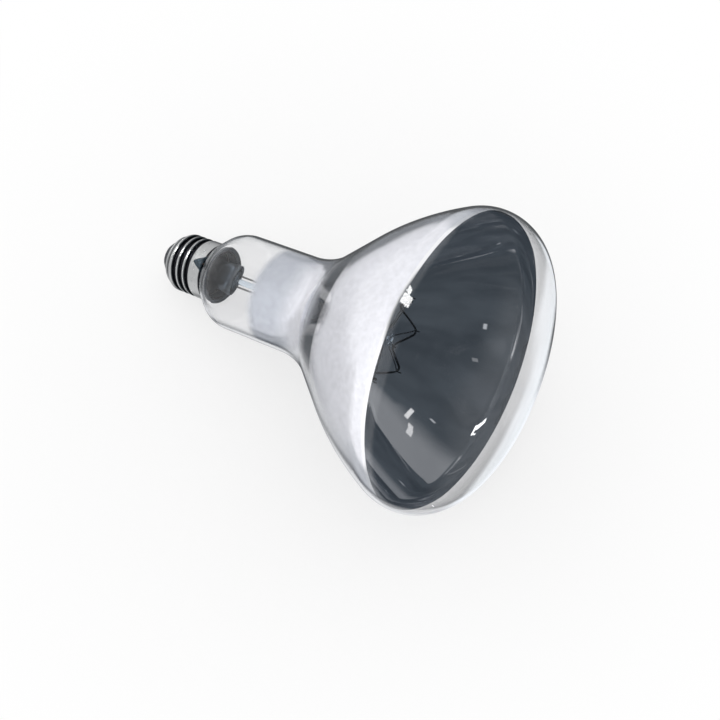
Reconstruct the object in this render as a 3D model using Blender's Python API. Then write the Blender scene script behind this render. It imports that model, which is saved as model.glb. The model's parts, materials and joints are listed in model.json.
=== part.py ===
"""Infrared heat bulb: a blown glass reflector lamp with an edison screw cap, lying on its side.

Sizes are in metres. Every piece is modelled on the lamp's own axis: local Z runs from the middle
of the face (station 0) back to the cap, and local X points at the side that lies uppermost. One
empty then lays the lamp down on its belly and its cap, as it comes to rest on a table.
"""

import math

import bmesh
import bpy
from mathutils import Vector

MM = 0.001

# Bulb outline, from the face to the cap
BULB_DIAMETER = 125.0 * MM
FACE_RADIUS = 145.0 * MM
ROLL_RADIUS = 18.0 * MM
ROLL_PAST_WIDEST = math.radians(22.0)
REFLECTOR_RADIUS = 120.0 * MM
CONE_ANGLE = math.radians(39.0)
CONE_FILLET = 36.0 * MM
NECK_DIAMETER = 42.5 * MM
NECK_LENGTH = 47.9 * MM
SHOULDER_ANGLE = math.radians(36.5)
SHOULDER_FILLET = 12.0 * MM
SEAT_DIAMETER = 30.2 * MM
SEAT_EDGE_FILLET = 1.2 * MM
GLASS_WALL = 0.9 * MM

# Mirror film inside the bulb
MIRROR_AHEAD_OF_WIDEST = 1.7 * MM
MIRROR_ALONG_NECK = 26.6 * MM
MIRROR_SKIN = 0.3 * MM

# Screw cap
THREAD_MAJOR = 26.2 * MM
THREAD_MINOR = 24.1 * MM
THREAD_PITCH = 3.629 * MM
THREAD_LENGTH = 11.8 * MM
FIRST_CREST = 1.0 * MM
SHELL_SHEET = 0.25 * MM
RIM_BAND = 5.8 * MM
LIP_LENGTH = 4.0 * MM
LIP_DIAMETER = 22.4 * MM
CAP_STANDOFF = 1.6 * MM
THROAT_LENGTH = 5.6 * MM
THROAT_CLEARANCE = 0.45 * MM
CEMENT_FLANGE = 1.0 * MM

# Insulator and centre contact
INSULATOR_LENGTH = 5.5 * MM
INSULATOR_END_DIAMETER = 13.0 * MM
INSULATOR_BORE = 2.6 * MM
INSULATOR_FLANGE = 1.9 * MM
CONTACT_DIAMETER = 9.8 * MM
CONTACT_THICKNESS = 0.9 * MM
CONTACT_HOLE = 1.4 * MM
CONTACT_SOLDER_DIAMETER = 4.8 * MM
CONTACT_SOLDER_HEIGHT = 1.1 * MM

# Side solder on the rim band
SOLDER_WIDTH = 6.6 * MM
SOLDER_LENGTH = 4.9 * MM
SOLDER_HEIGHT = 0.8 * MM
SOLDER_AZIMUTH = math.radians(-17.0)

# Glass mount inside the neck
STEM_DIAMETER = 13.0 * MM
STEM_WALL = 0.9 * MM
STEM_TUBE_LENGTH = 3.5 * MM
FLARE_LENGTH = 6.4 * MM
PRESS_WIDTH = 14.0 * MM
PRESS_THICKNESS = 5.0 * MM
PRESS_LENGTH = 4.6 * MM
EXHAUST_DIAMETER = 3.6 * MM
EXHAUST_WALL = 0.7 * MM
EXHAUST_LENGTH = 16.0 * MM
ARBOR_DIAMETER = 2.6 * MM
BUTTON_DIAMETER = 8.0 * MM
BUTTON_LENGTH = 5.2 * MM
ARBOR_NOSE = 1.2 * MM

# Crown filament, its hooks and its lead wires
CROWN_STATION = 59.5 * MM
CROWN_HEIGHT = 6.2 * MM
CROWN_RADIUS = 17.5 * MM
CROWN_HOOKS = 6
CROWN_AZIMUTH = math.radians(-15.5)
CROWN_END_ANGLE = math.radians(8.0)
COIL_DIAMETER = 1.0 * MM
FILAMENT_BEND = 2.4 * MM
HOOK_WIRE = 0.5 * MM
HOOK_BEND = 1.2 * MM
HOOK_TIP = 1.2 * MM
LEAD_WIRE = 0.8 * MM
LEAD_SPACING = 5.0 * MM
LEAD_BEND = 14.0 * MM
LEAD_FOOT = 9.0 * MM
LEAD_SPLAY = 20.0 * MM
OUTER_WIRE = 0.4 * MM

# Gaps that keep neighbouring pieces apart
GAP = 0.3 * MM
CEMENT_SLOT = math.radians(12.0)

# Fineness of the meshes
GLASS_SEGMENTS = 40
CAP_SEGMENTS = 32
SMALL_SEGMENTS = 14
ARC_TOLERANCE = 0.20 * MM
ARC_STEP = math.radians(40.0)
THREAD_SAMPLES = 7
WIRE_RESOLUTION = 1


# Outlines

def arc_steps(radius, angle):
    """Number of straight pieces that follow an arc within the tolerance."""
    sagitta = min(ARC_TOLERANCE / radius, 1.0)
    step = min(2.0 * math.acos(1.0 - sagitta), ARC_STEP)
    return max(2, math.ceil(abs(angle) / step))


def arc(centre, radius, start, end):
    """Points of an arc; an angle is that of the outward normal, 0 at +Y and 90 degrees at +X."""
    steps = arc_steps(radius, end - start)
    angles = [start + (end - start) * step / steps for step in range(steps + 1)]
    return [(centre[0] + radius * math.sin(a), centre[1] + radius * math.cos(a)) for a in angles]


def rounded(corners, radii):
    """A polyline through the corners with each inner one turned into an arc of its radius."""
    corners = [Vector(corner) for corner in corners]
    points = [corners[0]]
    for before, corner, after, radius in zip(corners, corners[1:], corners[2:], radii):
        to_before = (before - corner).normalized()
        to_after = (after - corner).normalized()
        half = to_before.angle(to_after) / 2.0
        room = 0.49 * min((before - corner).length, (after - corner).length)
        cut = min(radius / math.tan(half), room)
        turn = math.pi - 2.0 * half
        if cut <= 0.0 or turn < math.radians(1.0):
            points.append(corner)
            continue
        radius = cut * math.tan(half)
        middle = corner + (to_before + to_after).normalized() * radius / math.sin(half)
        first = corner + to_before * cut - middle
        last = corner + to_after * cut - middle
        steps = arc_steps(radius, turn)
        for step in range(steps + 1):
            part = step / steps
            blend = first * math.sin((1.0 - part) * turn) + last * math.sin(part * turn)
            points.append(middle + blend / math.sin(turn))
    points.append(corners[-1])
    return points


def offset(points, distance):
    """The outline moved inwards by a distance, on the side of the axis."""
    moved = []
    for index, point in enumerate(points):
        before = Vector(points[max(index - 1, 0)])
        after = Vector(points[min(index + 1, len(points) - 1)])
        along = (after - before).normalized()
        moved.append((point[0] + along[1] * distance, point[1] - along[0] * distance))
    return moved


def front_outline():
    """Face, rolled edge and curved reflector: three tangent arcs."""
    widest = FACE_RADIUS - math.sqrt(
        (FACE_RADIUS - ROLL_RADIUS) ** 2 - (BULB_DIAMETER / 2.0 - ROLL_RADIUS) ** 2
    )
    roll_centre = (widest, BULB_DIAMETER / 2.0 - ROLL_RADIUS)
    touch = -math.acos(roll_centre[1] / (FACE_RADIUS - ROLL_RADIUS))
    drop = REFLECTOR_RADIUS - ROLL_RADIUS
    reflector_centre = (
        roll_centre[0] - drop * math.sin(ROLL_PAST_WIDEST),
        roll_centre[1] - drop * math.cos(ROLL_PAST_WIDEST),
    )
    face = arc((FACE_RADIUS, 0.0), FACE_RADIUS, -math.pi / 2.0, touch)
    face[0] = (0.0, 0.0)
    roll = arc(roll_centre, ROLL_RADIUS, touch, ROLL_PAST_WIDEST)
    reflector = arc(reflector_centre, REFLECTOR_RADIUS, ROLL_PAST_WIDEST, CONE_ANGLE)
    return face + roll[1:] + reflector[1:], widest


FRONT, WIDEST = front_outline()
CONE_CORNER = FRONT[-1][0] + (FRONT[-1][1] - NECK_DIAMETER / 2.0) / math.tan(CONE_ANGLE)
SHOULDER = CONE_CORNER + NECK_LENGTH
SEAT = SHOULDER + (NECK_DIAMETER - SEAT_DIAMETER) / 2.0 / math.tan(SHOULDER_ANGLE)
THROAT_RADIUS = THREAD_MINOR / 2.0 - SHELL_SHEET - THROAT_CLEARANCE
THROAT = SEAT + SEAT_EDGE_FILLET / 4.0
THROAT_END = THROAT + THROAT_LENGTH
RIM = THROAT + CAP_STANDOFF


def rear_outline():
    """Straight cone, neck, shoulder and the throat that is sealed into the cap."""
    corners = [
        FRONT[-1],
        (CONE_CORNER, NECK_DIAMETER / 2.0),
        (SHOULDER, NECK_DIAMETER / 2.0),
        (SEAT, SEAT_DIAMETER / 2.0),
        (THROAT, THROAT_RADIUS),
        (THROAT_END, THROAT_RADIUS),
    ]
    radii = [CONE_FILLET, SHOULDER_FILLET, SEAT_EDGE_FILLET, SEAT_EDGE_FILLET / 2.0]
    return [tuple(point) for point in rounded(corners, radii)]


OUTLINE = FRONT + rear_outline()[1:]


def cut_outline(points, start, end):
    """The stretch of an outline between two stations, with a point at each end."""
    def at(station):
        for one, other in zip(points, points[1:]):
            if one[0] <= station <= other[0]:
                part = (station - one[0]) / max(other[0] - one[0], 1e-9)
                return (station, one[1] + part * (other[1] - one[1]))
        return points[-1]
    inner = [point for point in points if start + GAP < point[0] < end - GAP]
    return [at(start)] + inner + [at(end)]


# Screw thread

THREAD_START = RIM + RIM_BAND
THREAD_END = THREAD_START + THREAD_LENGTH
SHELL_END = THREAD_END + LIP_LENGTH
THREAD_DEPTH = (THREAD_MAJOR - THREAD_MINOR) / 2.0


def knuckle(distance):
    """Height of the rolled thread above its root, at a distance from the nearest crest."""
    quarter = THREAD_PITCH / 4.0
    rise = THREAD_DEPTH / 2.0
    radius = (quarter ** 2 + rise ** 2) / (2.0 * rise)
    if distance <= quarter:
        return THREAD_DEPTH - radius + math.sqrt(radius ** 2 - distance ** 2)
    return radius - math.sqrt(radius ** 2 - (2.0 * quarter - distance) ** 2)


def smooth(value):
    """0 below 0, 1 above 1 and a soft step between."""
    value = min(max(value, 0.0), 1.0)
    return value * value * (3.0 - 2.0 * value)


def shell_radius(station, azimuth):
    """Outer radius of the rolled shell, a right-hand thread between its rim band and its lip."""
    crest = THREAD_START + FIRST_CREST + THREAD_PITCH * azimuth / (2.0 * math.pi)
    turns = (station - crest) / THREAD_PITCH
    distance = abs(turns - round(turns)) * THREAD_PITCH
    fade = smooth((station - THREAD_START) / (THREAD_PITCH / 2.0))
    fade *= smooth((THREAD_END - station) / (THREAD_PITCH / 4.0))
    radius = THREAD_MAJOR / 2.0 - fade * (THREAD_DEPTH - knuckle(distance))
    lip = smooth((station - THREAD_END) / LIP_LENGTH)
    return radius - lip * (THREAD_MAJOR - LIP_DIAMETER) / 2.0


def shell_stations():
    """Stations of the shell's rings: few on the rim band, close ones along thread and lip."""
    turns = math.ceil(THREAD_LENGTH / THREAD_PITCH * THREAD_SAMPLES)
    lip = THREAD_SAMPLES // 2
    stations = [RIM, RIM + RIM_BAND / 2.0]
    stations += [THREAD_START + THREAD_LENGTH * step / turns for step in range(turns + 1)]
    return stations + [THREAD_END + LIP_LENGTH * step / lip for step in range(1, lip + 1)]


# Resting attitude

def reach(points, tilt):
    """How far an outline reaches down when the axis dips by the tilt towards the cap."""
    return max(s * math.sin(tilt) + r * math.cos(tilt) for s, r in points)


def resting_tilt(glass, cap):
    """Tilt at which the belly and the cap touch the table together, by bisection."""
    low, high = 0.0, math.radians(60.0)
    for _ in range(60):
        middle = (low + high) / 2.0
        if reach(glass, middle) > reach(cap, middle):
            low = middle
        else:
            high = middle
    return (low + high) / 2.0


def resting_place():
    """Tilt and place of the face's middle, for a lamp that lies with its box centred on X."""
    glass = [(s, r * math.cos(math.pi / GLASS_SEGMENTS)) for s, r in OUTLINE]
    flat = math.cos(math.pi / CAP_SEGMENTS)
    cap = [(s, shell_radius(s, math.pi) * flat) for s in shell_stations()]
    tilt = resting_tilt(glass, cap)
    front = max(r * math.sin(tilt) - s * math.cos(tilt) for s, r in glass)
    ends = [(SOLDER_TOP, CONTACT_SOLDER_DIAMETER / 4.0), (CONTACT_FACE, CONTACT_DIAMETER / 2.0)]
    back = max(s * math.cos(tilt) + r * math.sin(tilt) for s, r in cap + ends)
    return tilt, Vector(((back - front) / 2.0, 0.0, reach(glass, tilt)))


# Materials

def principled(name, colour, roughness, metallic=0.0, transmission=0.0):
    material = bpy.data.materials.new(name)
    material.use_nodes = True
    shader = material.node_tree.nodes["Principled BSDF"]
    shader.inputs["Base Color"].default_value = (*colour, 1.0)
    shader.inputs["Roughness"].default_value = roughness
    shader.inputs["Metallic"].default_value = metallic
    shader.inputs["Transmission Weight"].default_value = transmission
    return material


def clear_glass():
    return principled("clear_glass", (0.95, 0.97, 0.98), 0.02, transmission=1.0)


def stem_glass():
    return principled("stem_glass", (0.80, 0.84, 0.85), 0.06, transmission=0.9)


def aluminium_mirror():
    return principled("aluminium_mirror", (0.86, 0.87, 0.89), 0.06, metallic=1.0)


def tungsten():
    return principled("tungsten", (0.10, 0.10, 0.11), 0.45, metallic=1.0)


def molybdenum():
    return principled("molybdenum", (0.28, 0.28, 0.29), 0.35, metallic=1.0)


def nickel_wire():
    return principled("nickel_wire", (0.42, 0.41, 0.39), 0.30, metallic=1.0)


def copper_wire():
    return principled("copper_wire", (0.60, 0.34, 0.22), 0.35, metallic=1.0)


def nickel_plate():
    return principled("nickel_plate", (0.70, 0.70, 0.68), 0.28, metallic=1.0)


def black_glass():
    return principled("black_glass", (0.03, 0.03, 0.04), 0.12)


def contact_brass():
    return principled("contact_brass", (0.72, 0.58, 0.32), 0.30, metallic=1.0)


def tin_solder():
    return principled("tin_solder", (0.50, 0.51, 0.53), 0.35, metallic=1.0)


def burnt_solder():
    return principled("burnt_solder", (0.10, 0.12, 0.14), 0.45, metallic=0.6)


def basing_cement():
    return principled("basing_cement", (0.16, 0.15, 0.14), 0.85)


# Mesh building

def finish(bm, name, material, axis):
    """Closes the seams, points the faces out and puts the mesh on the lamp's axis."""
    bmesh.ops.remove_doubles(bm, verts=bm.verts, dist=1e-7)
    bmesh.ops.recalc_face_normals(bm, faces=bm.faces)
    mesh = bpy.data.meshes.new(name)
    bm.to_mesh(mesh)
    bm.free()
    mesh.shade_smooth()
    mesh.set_sharp_from_angle(angle=math.radians(40.0))
    return place(bpy.data.objects.new(name, mesh), material, axis)


def place(part, material, axis):
    part.data.materials.append(material)
    bpy.context.collection.objects.link(part)
    part.parent = axis
    return part


def polar(radius, azimuth, station):
    return Vector((radius * math.cos(azimuth), radius * math.sin(azimuth), station))


def turned(name, outline, segments, material, axis, sweep=2.0 * math.pi, start=None):
    """A closed outline of (station, radius) points, spun about the axis."""
    start = math.pi / segments if start is None else start
    bm = bmesh.new()
    verts = [bm.verts.new(polar(radius, start, station)) for station, radius in outline]
    whole = sweep > 2.0 * math.pi - 1e-6
    geometry = list(verts)
    if whole:
        for one, other in zip(verts, verts[1:] + verts[:1]):
            if max(one.co.xy.length, other.co.xy.length) > 1e-9:
                geometry.append(bm.edges.new((one, other)))
    else:
        geometry.append(bm.faces.new(verts))
    bmesh.ops.spin(
        bm, geom=geometry, cent=(0.0, 0.0, 0.0), axis=(0.0, 0.0, 1.0), angle=sweep,
        steps=segments, use_merge=whole, use_duplicate=False,
    )
    return finish(bm, name, material, axis)


def lofted(name, rings, material, axis, closed=False):
    """A skin over rings of equally many points; an open loft gets flat ends."""
    bm = bmesh.new()
    loops = [[bm.verts.new(point) for point in ring] for ring in rings]
    pairs = list(zip(loops, loops[1:] + loops[:1])) if closed else list(zip(loops, loops[1:]))
    for one, other in pairs:
        for index in range(len(one)):
            after = (index + 1) % len(one)
            bm.faces.new((one[index], one[after], other[after], other[index]))
    if not closed:
        bm.faces.new(loops[0])
        bm.faces.new(loops[-1])
    return finish(bm, name, material, axis)


def wire(name, points, diameter, material, axis):
    """A round wire along a smooth polyline, with flat ends."""
    curve = bpy.data.curves.new(name, "CURVE")
    curve.dimensions = "3D"
    curve.bevel_depth = diameter / 2.0
    curve.bevel_resolution = WIRE_RESOLUTION
    curve.use_fill_caps = True
    spline = curve.splines.new("POLY")
    spline.points.add(len(points) - 1)
    for target, point in zip(spline.points, points):
        target.co = (*point, 1.0)
    return place(bpy.data.objects.new(name, curve), material, axis)


# Glass pieces

def glass_envelope(axis):
    """The blown bulb: one wall from the face to the throat, open where the stem is sealed in."""
    inner = offset(OUTLINE, GLASS_WALL)
    inner[0] = (GLASS_WALL, 0.0)
    return turned("glass_envelope", OUTLINE + inner[::-1], GLASS_SEGMENTS, clear_glass(), axis)


def mirror_film(axis):
    """The metal film on the inside of the reflector and the front of the neck."""
    start = WIDEST - MIRROR_AHEAD_OF_WIDEST
    stretch = cut_outline(OUTLINE, start, CONE_CORNER + MIRROR_ALONG_NECK)
    outer = offset(stretch, GLASS_WALL + GAP)
    inner = offset(stretch, GLASS_WALL + GAP + MIRROR_SKIN)
    return turned("mirror_film", outer + inner[::-1], GLASS_SEGMENTS, aluminium_mirror(), axis)


FLARE_RIM = THROAT_END - GAP
FLARE_RADIUS = THROAT_RADIUS - GLASS_WALL - GAP
TUBE_START = FLARE_RIM - FLARE_LENGTH
PRESS_START = TUBE_START - STEM_TUBE_LENGTH
PRESS_FACE = PRESS_START - PRESS_LENGTH
HOLLOW_END = PRESS_START - PRESS_LENGTH / 5.0
ACROSS = CROWN_AZIMUTH + math.pi / 2.0


def oval(half_width, half_thickness, station):
    """An ellipse about the axis, wide across the two lead wires."""
    ring = []
    for index in range(SMALL_SEGMENTS):
        angle = 2.0 * math.pi * index / SMALL_SEGMENTS
        wide = half_width * math.cos(angle)
        thick = half_thickness * math.sin(angle)
        ring.append(polar(wide, ACROSS, station) + polar(thick, CROWN_AZIMUTH, 0.0))
    return ring


def flare_radius(part):
    """Trumpet from the tube (part 0) to the rim that is sealed to the throat (part 1)."""
    return STEM_DIAMETER / 2.0 + (FLARE_RADIUS - STEM_DIAMETER / 2.0) * part ** 2


def stem(axis):
    """Flare, tube and press: a glass funnel pinched flat round the lead wires."""
    flare = [step / 4.0 for step in range(5)]
    half = STEM_DIAMETER / 2.0
    inner = [oval(half - 2.0 * STEM_WALL, PRESS_THICKNESS / 3.0, HOLLOW_END)]
    inner.append(oval(half - STEM_WALL, half - STEM_WALL, PRESS_START + STEM_TUBE_LENGTH / 2.0))
    outer = []
    for part in flare:
        station = TUBE_START + FLARE_LENGTH * part
        radius = flare_radius(part)
        inner.append(oval(radius - STEM_WALL, radius - STEM_WALL, station))
        outer.append(oval(radius, radius, station))
    outer = outer[::-1]
    outer.append(oval(half, half, PRESS_START + STEM_TUBE_LENGTH / 2.0))
    wide, thick = PRESS_WIDTH / 2.0, PRESS_THICKNESS / 2.0
    middle_wide = (half + wide) / 2.0
    outer.append(oval(middle_wide, (half + thick) / 2.0, PRESS_START + STEM_TUBE_LENGTH / 8.0))
    outer.append(oval(wide, thick, PRESS_START - PRESS_LENGTH / 3.0))
    outer.append(oval(wide, thick, PRESS_FACE + STEM_WALL / 2.0))
    outer.append(oval(wide - STEM_WALL / 2.0, thick - STEM_WALL / 2.0, PRESS_FACE))
    return lofted("stem_flare_and_press", inner + outer, stem_glass(), axis)


def exhaust_tube(axis):
    """The pump tube behind the press, tipped off and round at its end."""
    radius = EXHAUST_DIAMETER / 2.0
    bore = radius - EXHAUST_WALL
    start = HOLLOW_END + GAP
    tip = start + EXHAUST_LENGTH
    outer = rounded([(start, radius), (tip, radius), (tip, 0.0)], [radius * 0.9])
    closed_end = tip - EXHAUST_WALL * 2.0
    inner = rounded([(start, bore), (closed_end, bore), (closed_end, 0.0)], [bore * 0.9])
    outline = [tuple(point) for point in outer] + [tuple(point) for point in inner[::-1]]
    return turned("exhaust_tube", outline, SMALL_SEGMENTS, stem_glass(), axis)


def arbor(axis):
    """The glass rod that stands on the press, with the button that holds the hooks."""
    rod = ARBOR_DIAMETER / 2.0
    button = BUTTON_DIAMETER / 2.0
    front = CROWN_STATION - BUTTON_LENGTH / 2.0
    back = CROWN_STATION + BUTTON_LENGTH / 2.0
    corners = [
        (front - ARBOR_NOSE, 0.0), (front - ARBOR_NOSE, rod), (front, rod),
        (front, button), (back, button), (back, rod),
        (PRESS_FACE - GAP, rod), (PRESS_FACE - GAP, 0.0),
    ]
    turns = [rod / 2.0, rod / 3.0, button / 3.0, button / 3.0, rod / 3.0, 0.0]
    outline = [tuple(point) for point in rounded(corners, turns)]
    return turned("arbor_rod", outline, SMALL_SEGMENTS, stem_glass(), axis)


# Filament, hooks and wires

WRAP_RADIUS = (COIL_DIAMETER + HOOK_WIRE) / 2.0 + GAP
FRONT_HOOK = CROWN_STATION - CROWN_HEIGHT / 2.0
REAR_HOOK = CROWN_STATION + CROWN_HEIGHT / 2.0
HOOK_STEP = math.pi / CROWN_HOOKS


def crown_hooks():
    """(azimuth, is front) of each hook, in order round the crown from one lead to the other."""
    return [(CROWN_AZIMUTH + HOOK_STEP * step, step % 2 == 1) for step in range(1, 2 * CROWN_HOOKS)]


def crown_path():
    """The filament's centre line: a rounded wave on a cylinder that bends round each hook."""
    sag = FILAMENT_BEND - WRAP_RADIUS
    centres = [
        (azimuth * CROWN_RADIUS, FRONT_HOOK + sag if front else REAR_HOOK - sag, -1.0 if front else 1.0)
        for azimuth, front in crown_hooks()
    ]
    ends = (CROWN_AZIMUTH + CROWN_END_ANGLE, CROWN_AZIMUTH + 2.0 * math.pi - CROWN_END_ANGLE)
    flat = [(ends[0] * CROWN_RADIUS, REAR_HOOK + WRAP_RADIUS)]
    spread = HOOK_STEP * CROWN_RADIUS
    height = REAR_HOOK - FRONT_HOOK - 2.0 * sag
    lean = math.atan2(height, spread) + math.asin(2.0 * FILAMENT_BEND / math.hypot(spread, height))
    steps = 2 * arc_steps(FILAMENT_BEND, lean)
    for across, along, side in centres:
        for step in range(steps + 1):
            angle = lean * (2.0 * step / steps - 1.0)
            flat.append((
                across + FILAMENT_BEND * math.sin(angle),
                along + side * FILAMENT_BEND * math.cos(angle),
            ))
    flat.append((ends[1] * CROWN_RADIUS, REAR_HOOK + WRAP_RADIUS))
    return [polar(CROWN_RADIUS, across / CROWN_RADIUS, along) for across, along in flat]


def filament(axis):
    return wire("filament", crown_path(), COIL_DIAMETER, tungsten(), axis)


def hook_path(azimuth, front):
    """From the button out through the filament's bend, then turned up so that it can't slip off."""
    side = -1.0 if front else 1.0
    station = FRONT_HOOK if front else REAR_HOOK
    root = CROWN_STATION + side * BUTTON_LENGTH / 6.0
    tip = CROWN_RADIUS + WRAP_RADIUS + GAP
    corners = [
        polar(BUTTON_DIAMETER / 2.0 + GAP, azimuth, root),
        polar(CROWN_RADIUS - 2.0 * WRAP_RADIUS, azimuth, station),
        polar(tip, azimuth, station),
        polar(tip, azimuth, station + side * (HOOK_BEND + HOOK_TIP)),
    ]
    return rounded(corners, [HOOK_BEND, HOOK_BEND])


def filament_hooks(axis):
    metal = molybdenum()
    for number, (azimuth, front) in enumerate(crown_hooks(), 1):
        name = f"{'front' if front else 'rear'}_hook_{(number + 1) // 2}"
        wire(name, hook_path(azimuth, front), HOOK_WIRE, metal, axis)


def beside(across, outwards, station):
    """A point set by its distance across the press and outwards towards the crown's gap."""
    return polar(across, ACROSS, station) + polar(outwards, CROWN_AZIMUTH, 0.0)


def lead_path(side):
    """Out of the press, along the axis, then splayed to its end of the filament."""
    end = REAR_HOOK + WRAP_RADIUS + (COIL_DIAMETER + LEAD_WIRE) / 2.0 + GAP
    out = CROWN_RADIUS * math.cos(CROWN_END_ANGLE)
    across = side * CROWN_RADIUS * math.sin(CROWN_END_ANGLE)
    splay_end = end + LEAD_FOOT
    start = side * LEAD_SPACING / 2.0
    corners = [
        beside(start, 0.0, PRESS_FACE - GAP),
        beside(start, 0.0, splay_end + LEAD_SPLAY),
        beside(across, out, splay_end),
        beside(across, out, end),
    ]
    return rounded(corners, [LEAD_BEND, LEAD_BEND])


def inner_leads(axis):
    metal = nickel_wire()
    for name, side in (("inner_lead_a", 1.0), ("inner_lead_b", -1.0)):
        wire(name, lead_path(side), LEAD_WIRE, metal, axis)


def side_lead_path():
    """From the press round the end of the throat and forward through the cement to the rim."""
    inside = FLARE_RADIUS - STEM_WALL - GAP - OUTER_WIRE
    channel = (THROAT_RADIUS + THREAD_MAJOR / 2.0 - SHELL_SHEET) / 2.0
    turn = THROAT_END + GAP + OUTER_WIRE + (channel - inside) / 4.0
    step_out = RIM - GAP - OUTER_WIRE / 2.0
    corners = [
        beside(-LEAD_SPACING / 2.0, 0.0, HOLLOW_END + GAP),
        beside(-LEAD_SPACING / 2.0, 0.0, TUBE_START),
        polar(inside, SOLDER_AZIMUTH, FLARE_RIM - GAP),
        polar(inside, SOLDER_AZIMUTH, turn),
        polar(channel, SOLDER_AZIMUTH, turn),
        polar(channel, SOLDER_AZIMUTH, step_out),
        polar(THREAD_MAJOR / 2.0 + SOLDER_HEIGHT, SOLDER_AZIMUTH, step_out),
    ]
    bend = (channel - inside) / 2.0
    return rounded(corners, [bend, bend, bend, bend, OUTER_WIRE])


def centre_lead_path():
    """From the press past the pump tube to the hole in the centre contact."""
    start = HOLLOW_END + GAP
    tube_tip = start + EXHAUST_LENGTH
    corners = [
        beside(LEAD_SPACING / 2.0, 0.0, start),
        beside(LEAD_SPACING / 2.0, 0.0, tube_tip + OUTER_WIRE),
        Vector((0.0, 0.0, INSULATOR_START - OUTER_WIRE)),
        Vector((0.0, 0.0, CONTACT_FACE)),
    ]
    return rounded(corners, [LEAD_SPACING / 2.0, LEAD_SPACING / 2.0])


def outer_leads(axis):
    metal = copper_wire()
    wire("centre_lead_wire", centre_lead_path(), OUTER_WIRE, metal, axis)
    wire("side_lead_wire", side_lead_path(), OUTER_WIRE, metal, axis)


# Cap pieces

def screw_shell(axis):
    """Thin sheet rolled into the thread: an outer skin, and an inner one a sheet's thickness in."""
    azimuths = [2.0 * math.pi * (index + 0.5) / CAP_SEGMENTS for index in range(CAP_SEGMENTS)]
    small = THREAD_PITCH / 100.0
    outer, inner = [], []
    for station in shell_stations():
        outside, inside = [], []
        for azimuth in azimuths:
            radius = shell_radius(station, azimuth)
            change = shell_radius(station + small, azimuth) - shell_radius(station - small, azimuth)
            thickness = SHELL_SHEET * math.hypot(1.0, change / (2.0 * small))
            outside.append(polar(radius, azimuth, station))
            inside.append(polar(radius - thickness, azimuth, station))
        outer.append(outside)
        inner.append(inside)
    return lofted("screw_shell", outer + inner[::-1], nickel_plate(), axis, closed=True)


def cement_ring(axis):
    """Cement between throat and shell, open at the slot where the side lead comes out."""
    root = THROAT_RADIUS + GAP
    wall = THREAD_MAJOR / 2.0 - SHELL_SHEET - GAP
    front = THROAT + GAP
    outline = [
        (front, root), (THROAT_END - GAP, root), (THROAT_END - GAP, wall),
        (front + CEMENT_FLANGE, wall),
        (front + CEMENT_FLANGE, THREAD_MAJOR / 2.0), (front, THREAD_MAJOR / 2.0),
    ]
    start = SOLDER_AZIMUTH + CEMENT_SLOT / 2.0
    sweep = 2.0 * math.pi - CEMENT_SLOT
    return turned("cap_cement", outline, CAP_SEGMENTS, basing_cement(), axis, sweep, start)


LIP_BORE = LIP_DIAMETER / 2.0 - SHELL_SHEET - GAP
INSULATOR_START = THREAD_END - INSULATOR_FLANGE
INSULATOR_END = SHELL_END + INSULATOR_LENGTH
CONTACT_FACE = INSULATOR_END + GAP + CONTACT_THICKNESS
SOLDER_TOP = CONTACT_FACE + GAP + CONTACT_SOLDER_HEIGHT


def insulator(axis):
    """Black glass poured into the end of the shell, a blunt cone with a bore for the lead."""
    bore = INSULATOR_BORE / 2.0
    flange = THREAD_MINOR / 2.0 - SHELL_SHEET - GAP
    corners = [
        (INSULATOR_START, bore), (INSULATOR_START, flange), (THREAD_END - GAP, flange),
        (SHELL_END - GAP, LIP_BORE), (SHELL_END + GAP, LIP_BORE),
        (INSULATOR_END, INSULATOR_END_DIAMETER / 2.0), (INSULATOR_END, bore),
    ]
    turns = [0.0, 0.0, 0.0, 0.0, 2.0 * GAP]
    outline = [tuple(point) for point in rounded(corners, turns)]
    return turned("cap_insulator", outline, CAP_SEGMENTS, black_glass(), axis)


def centre_contact(axis):
    """A flat brass disc with a rounded edge and a hole for the lead."""
    edge = CONTACT_DIAMETER / 2.0
    hole = CONTACT_HOLE / 2.0
    back = INSULATOR_END + GAP
    corners = [(back, hole), (back, edge), (CONTACT_FACE, edge), (CONTACT_FACE, hole)]
    outline = [tuple(point) for point in rounded(corners, [0.0, CONTACT_THICKNESS / 2.0])]
    return turned("centre_contact", outline, SMALL_SEGMENTS, contact_brass(), axis)


def centre_solder(axis):
    """The drop of solder that closes the hole in the contact."""
    edge = CONTACT_SOLDER_DIAMETER / 2.0
    base = CONTACT_FACE + GAP
    corners = [(base, 0.0), (base, edge), (SOLDER_TOP, edge * 0.5), (SOLDER_TOP, 0.0)]
    outline = [tuple(point) for point in rounded(corners, [0.0, CONTACT_SOLDER_HEIGHT / 2.0])]
    return turned("centre_solder", outline, SMALL_SEGMENTS, tin_solder(), axis)


def side_solder(axis):
    """A blunt wedge of solder on the rim band, widest at the rim and narrow towards the thread."""
    floor = THREAD_MAJOR / 2.0 + GAP
    rows, columns = 6, 6
    under, over = [], []
    for row in range(rows + 1):
        part = row / rows
        station = RIM + GAP + SOLDER_LENGTH * part
        half_angle = SOLDER_WIDTH / THREAD_MAJOR * (1.0 - 0.88 * part)
        low, high = [], []
        for column in range(columns + 1):
            side = 2.0 * column / columns - 1.0
            swell = SOLDER_HEIGHT * (1.0 - 0.7 * side * side) * (1.0 - 0.7 * part * part)
            azimuth = SOLDER_AZIMUTH + half_angle * side
            low.append(polar(floor, azimuth, station))
            high.append(polar(floor + swell, azimuth, station))
        under.append(low)
        over.append(high)
    rings = [low + high[::-1] for low, high in zip(under, over)]
    return lofted("side_solder", rings, burnt_solder(), axis)


# The lamp

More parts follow.
